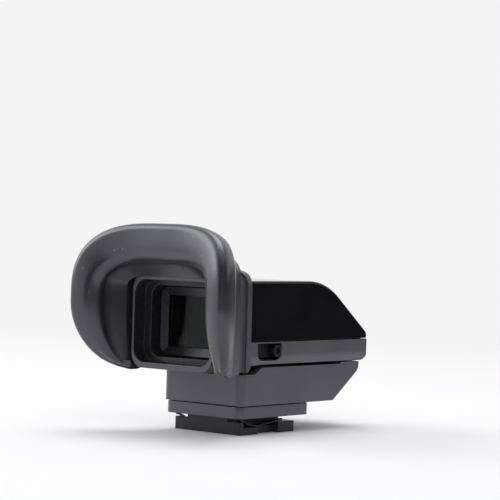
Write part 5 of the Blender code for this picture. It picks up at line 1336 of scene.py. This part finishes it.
base_shell = pushed("base_shell", base_outline(), -BODY_HALF, BODY_HALF, "X")
round_edges(base_shell, BASE_EDGE, 4)
base_plan = rounded_rectangle(
    BODY_HALF, BASE_REAR, BASE_FRONT, BASE_REAR_CORNER, BASE_FRONT_CORNER, steps=ROUND_STEPS,
)
plan_tool = pushed("plan", base_plan, SHELL_BOTTOM - SPARE, PAD_TOP + SPARE, "Z")
carve(base_shell, plan_tool, operation="INTERSECT")
hatch_half = plate_box[1].x - BASE_WALL
hatch_rear, hatch_front = plate_box[0].y + BASE_WALL, plate_box[1].y - BASE_WALL
hatch_plan = rounded_rectangle(hatch_half, hatch_rear, hatch_front, PLATE_CORNER)
ear_front = BASE_FRONT - BASE_WALL
ear_rear = ear_front - ROOF_SLOT_LENGTH
roof_slots = [
    box("roof_slot", (a, ear_rear, BASE_TOP - BASE_WALL - SPARE), (b, ear_front, BASE_TOP + SPARE))
    for a, b in (
        (EAR_INNER - EAR_ROOM, EAR_OUTER + EAR_ROOM),
        (-EAR_OUTER - EAR_ROOM, EAR_ROOM - EAR_INNER),
        (-FLEX_HALF - FLEX_ROOM, FLEX_HALF + FLEX_ROOM),
    )
]
carve(
    base_shell,
    pushed("hollow", base_outline(BASE_WALL), BASE_WALL - BODY_HALF, BODY_HALF - BASE_WALL, "X"),
    pushed("hatch", hatch_plan, SHELL_BOTTOM - SPARE, SHELL_BOTTOM + 2 * BASE_WALL, "Z"),
    *roof_slots,
)
moulded(base_shell, BASE_BREAK)
base_shell.data.materials.append(satin_plastic)
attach(base_shell, "base")
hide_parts("base_housing")
report(base_shell)

# %% Shape the lower plate
plate_plan = rounded_rectangle(
    plate_box[1].x, plate_box[0].y, plate_box[1].y, PLATE_CORNER, steps=ROUND_STEPS,
)
plate = pushed("closing_plate", plate_plan, plate_box[0].z, plate_box[1].z, "Z")
carve(plate, pushed("tray", hatch_plan, plate_box[0].z + BASE_WALL, plate_box[1].z + SPARE, "Z"))
for number in (1, 2, 3, 4):
    low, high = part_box(f"base_screw_{number}")
    centre = (low + high) / 2
    place = (centre.x, centre.y, plate_box[0].z)
    carve(plate, drill("screw_hole", PLATE_HOLE_RADIUS, 4 * SPARE, place))
moulded(plate, PLATE_BREAK)
plate.data.materials.append(satin_plastic)
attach(plate, "base")
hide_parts("base_lower_plate")
report(plate)

# %% [markdown]
# ## The shoe foot
#
# The foot slides into a standard accessory shoe: two thin rails with a notch in the middle, a thicker
# nose that carries the contacts, an end wall and a neck up to the base. It could be stacked from
# blocks, but carving the steps out of one solid leaves a single clean piece, as the mould does.

# %% Size the shoe foot
foot_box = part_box("shoe_foot")
contact_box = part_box("shoe_contact_block")
FOOT_HALF = foot_box[1].x
FOOT_END = foot_box[1].y
RAIL_TOP, NOSE_TOP, STOP_TOP = 1.55 * MM, 2.3 * MM, 2.75 * MM
NOTCH_HALF, NOTCH_DEEP = 3.35 * MM, 1.6 * MM
NECK_HALF, NECK_FRONT = 5.7 * MM, 7.7 * MM
STOP_THICK = 1.2 * MM
STOP_CORNER, NOSE_CORNER = 0.2 * MM, 0.8 * MM
NECK_GAP = 0.2 * MM
POCKET_ROOM = 0.2 * MM
FOOT_BREAK = 0.10 * MM
print("the foot is", round(2 * FOOT_HALF / MM, 2), "mm wide, as a standard accessory shoe asks")

# %% Shape the shoe foot
foot_plan = rounded_rectangle(FOOT_HALF, -FOOT_END, FOOT_END, STOP_CORNER, NOSE_CORNER, steps=8)
foot = pushed("shoe_slide", foot_plan, 0, foot_box[1].z, "Z")
stop_front = STOP_THICK - FOOT_END
above = foot_box[1].z + SPARE
step_outline = [
    (-FOOT_END - SPARE, STOP_TOP), (stop_front, STOP_TOP), (stop_front, RAIL_TOP),
    (NOTCH_HALF, RAIL_TOP), (NOTCH_HALF, NOSE_TOP), (FOOT_END + SPARE, NOSE_TOP),
    (FOOT_END + SPARE, above), (-FOOT_END - SPARE, above),
]
outside = FOOT_HALF + SPARE
tools = []
for side in (-1, 1):
    low, high = sorted((side * NECK_HALF, side * outside))
    tools.append(pushed("rail_step", step_outline, low, high, "X"))
    low, high = sorted((side * (FOOT_HALF - NOTCH_DEEP), side * outside))
    tools.append(box("notch", (low, -NOTCH_HALF, -SPARE), (high, NOTCH_HALF, RAIL_TOP + SPARE)))
neck_level = NOSE_TOP + NECK_GAP
tools.append(box("neck_front", (-outside, NECK_FRONT, neck_level), (outside, FOOT_END + SPARE, above)))
pocket_low = (contact_box[0].x - POCKET_ROOM, contact_box[0].y - POCKET_ROOM, -SPARE)
tools.append(box("contact_pocket", pocket_low, contact_box[1] + Vector((1, 1, 1)) * POCKET_ROOM))
carve(foot, *tools)
moulded(foot, FOOT_BREAK)
foot.data.materials.append(foot_plastic)
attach(foot, "base")
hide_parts("shoe_foot")
report(foot)

# %% [markdown]
# ## The focusing lever
#
# The lever hangs inside the lower housing from a pin. Its curved shield fills the window behind the
# hollow knob, so that no light gets in wherever the knob stands. The shield and the arm are flat
# shapes pushed across, the knob and the drive pin are turned, and a union makes them one moulding.

# %% Size the lever
lever_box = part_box("diopter_lever")
pin_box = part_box("lever_pivot_pin")
pivot = (pin_box[0].yz + pin_box[1].yz) / 2
LEVER_REACH = 10.0 * MM
KNOB_TRAVEL = 4.7 * MM
HALF_SWING = math.asin(KNOB_TRAVEL / 2 / LEVER_REACH)
LEVER_ANGLE = HALF_SWING - QUARTER
LEVER_INNER, LEVER_OUTER = 8.6 * MM, 9.4 * MM
LEVER_MIDDLE = (LEVER_INNER + LEVER_OUTER) / 2
SHIELD_OUTER, SHIELD_INNER = 11.2 * MM, 7.9 * MM
SHIELD_STEPS = 20
ARM_HALF = 1.4 * MM
ARM_LENGTH = 9.5 * MM
KNOB_RADIUS, KNOB_HOLLOW, KNOB_DEEP = 1.26 * MM, 0.7 * MM, 0.6 * MM
KNOB_CHAMFER, HOLLOW_CHAMFER = 0.15 * MM, 0.1 * MM
DRIVE_REACH, DRIVE_RADIUS = 4.2 * MM, 0.45 * MM
BORE_RADIUS, BORE_LENGTH = 0.56 * MM, 4.0 * MM
print("the knob travels", KNOB_TRAVEL / MM, "mm")

# %% Shape the lever
along = Vector((math.cos(LEVER_ANGLE), math.sin(LEVER_ANGLE)))
side = Vector((math.cos(HALF_SWING), math.sin(HALF_SWING))) * ARM_HALF


def lever_place(x, reach):
    """A point at the given place across the head and distance down the lever's arm."""
    return Vector((x, *(pivot + along * reach)))


def turned_post(name, radius, length, place, sides=HOLE_SIDES):
    """A plain round bar that starts at a place and runs to the user's right."""
    return spun(name, [(0, 0), (radius, 0), (radius, length), (0, length)], place, (1, 0, 0), sides)


shield_start, shield_end = -QUARTER - HALF_SWING, -QUARTER + 3 * HALF_SWING
shield_outline = arc(pivot, SHIELD_OUTER, shield_start, shield_end, SHIELD_STEPS)
shield_outline += arc(pivot, SHIELD_INNER, shield_end, shield_start, SHIELD_STEPS)
lever = pushed("focus_lever_arm", shield_outline, LEVER_INNER, LEVER_OUTER, "X")
arm_end = pivot + along * ARM_LENGTH
arm_outline = [tuple(arm_end - side), tuple(arm_end + side), tuple(pivot + side)]
arm_outline += arc(pivot, ARM_HALF, HALF_SWING, HALF_SWING + 2 * QUARTER, 16)[1:]
arm = pushed("arm", arm_outline, LEVER_INNER, LEVER_OUTER, "X")
knob_length = lever_box[1].x - LEVER_MIDDLE
knob_profile = [
    (0, 0), (KNOB_RADIUS, 0), (KNOB_RADIUS, knob_length - KNOB_CHAMFER),
    (KNOB_RADIUS - KNOB_CHAMFER, knob_length), (KNOB_HOLLOW + HOLLOW_CHAMFER, knob_length),
    (KNOB_HOLLOW, knob_length - HOLLOW_CHAMFER), (KNOB_HOLLOW, knob_length - KNOB_DEEP),
    (0, knob_length - KNOB_DEEP),
]
knob = spun("knob", knob_profile, lever_place(LEVER_MIDDLE, LEVER_REACH), (1, 0, 0), 40)
pin_start = lever_box[0].x
pin_place = lever_place(pin_start, DRIVE_REACH)
drive = turned_post("drive_pin", DRIVE_RADIUS, LEVER_MIDDLE - pin_start, pin_place)
carve(lever, arm, knob, drive, operation="UNION")
bore_place = lever_place(LEVER_MIDDLE - BORE_LENGTH / 2, 0)
carve(lever, turned_post("bore", BORE_RADIUS, BORE_LENGTH, bore_place))
tidy(lever)
smooth(lever)
lever.data.materials.append(dull_plastic)
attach(lever, "focus_lever")
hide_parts("diopter_lever")
report(lever)

# %% [markdown]
# ## The optics
#
# Three lenses ride in a carrier, each a pair of shallow domes with a ground edge. They are turned on
# a lathe from the same numbers as the solids, with many more steps, because a lens shows every facet.

# %% Turn the lenses
LENS_EDGE = 0.8 * MM
DOME_STEPS = 10
LENS_SIDES = 72


def lens_profile(radius, thickness):
    """Half of a lens with two domes, from its front centre round its edge to its rear centre."""
    dome = (thickness - LENS_EDGE) / 2
    shares = [i / DOME_STEPS for i in range(DOME_STEPS + 1)]
    front = [(radius * share, LENS_EDGE / 2 + dome * (1 - share**2)) for share in shares]
    return front + [(r, -h) for r, h in reversed(front)]


for node in ("rear_lens", "middle_lens", "front_lens"):
    low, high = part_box(node)
    centre = (low + high) / 2
    lens = spun("ground_" + node, lens_profile(high.x, high.y - low.y), centre, (0, 1, 0), LENS_SIDES)
    smooth(lens, 50)
    lens.data.materials.append(lens_glass)
    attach(lens, "lens_group")
    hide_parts(node)
    report(lens)

# %% [markdown]
# ## Pieces that keep their solid
#
# What is left is inside, or small and straight-sided, so its imported shape is right already. It only
# needs its finish: each node gets the material that its slot names. The springs under the foot are
# the exception: they take a dark steel, which is painted shade for the shadowed gap that they sit in.

# %% Finish the other pieces
SLOT_FINISHES = {
    "satin_black_plastic": satin_plastic,
    "gloss_black_plastic": gloss_plastic,
    "dull_black_plastic": dull_plastic,
    "charcoal_rubber": rubber,
    "coated_glass": window_glass,
    "display_glass": panel_glass,
    "bright_steel": steel,
    "gold_plate": gold,
    "circuit_board": board,
    "flex_circuit": film,
    "chip_resin": resin,
}
for name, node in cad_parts.items():
    slot = node.data.materials[0].name.split(".")[0]
    # Painted shade: the springs get the dark steel, for the shadow in the gap where they sit.
    spring_in_painted_shade = name.startswith("shoe_spring")
    node.data.materials[0] = painted_shade_steel if spring_in_painted_shade else SLOT_FINISHES[slot]
print("finished", len(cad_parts), "nodes")
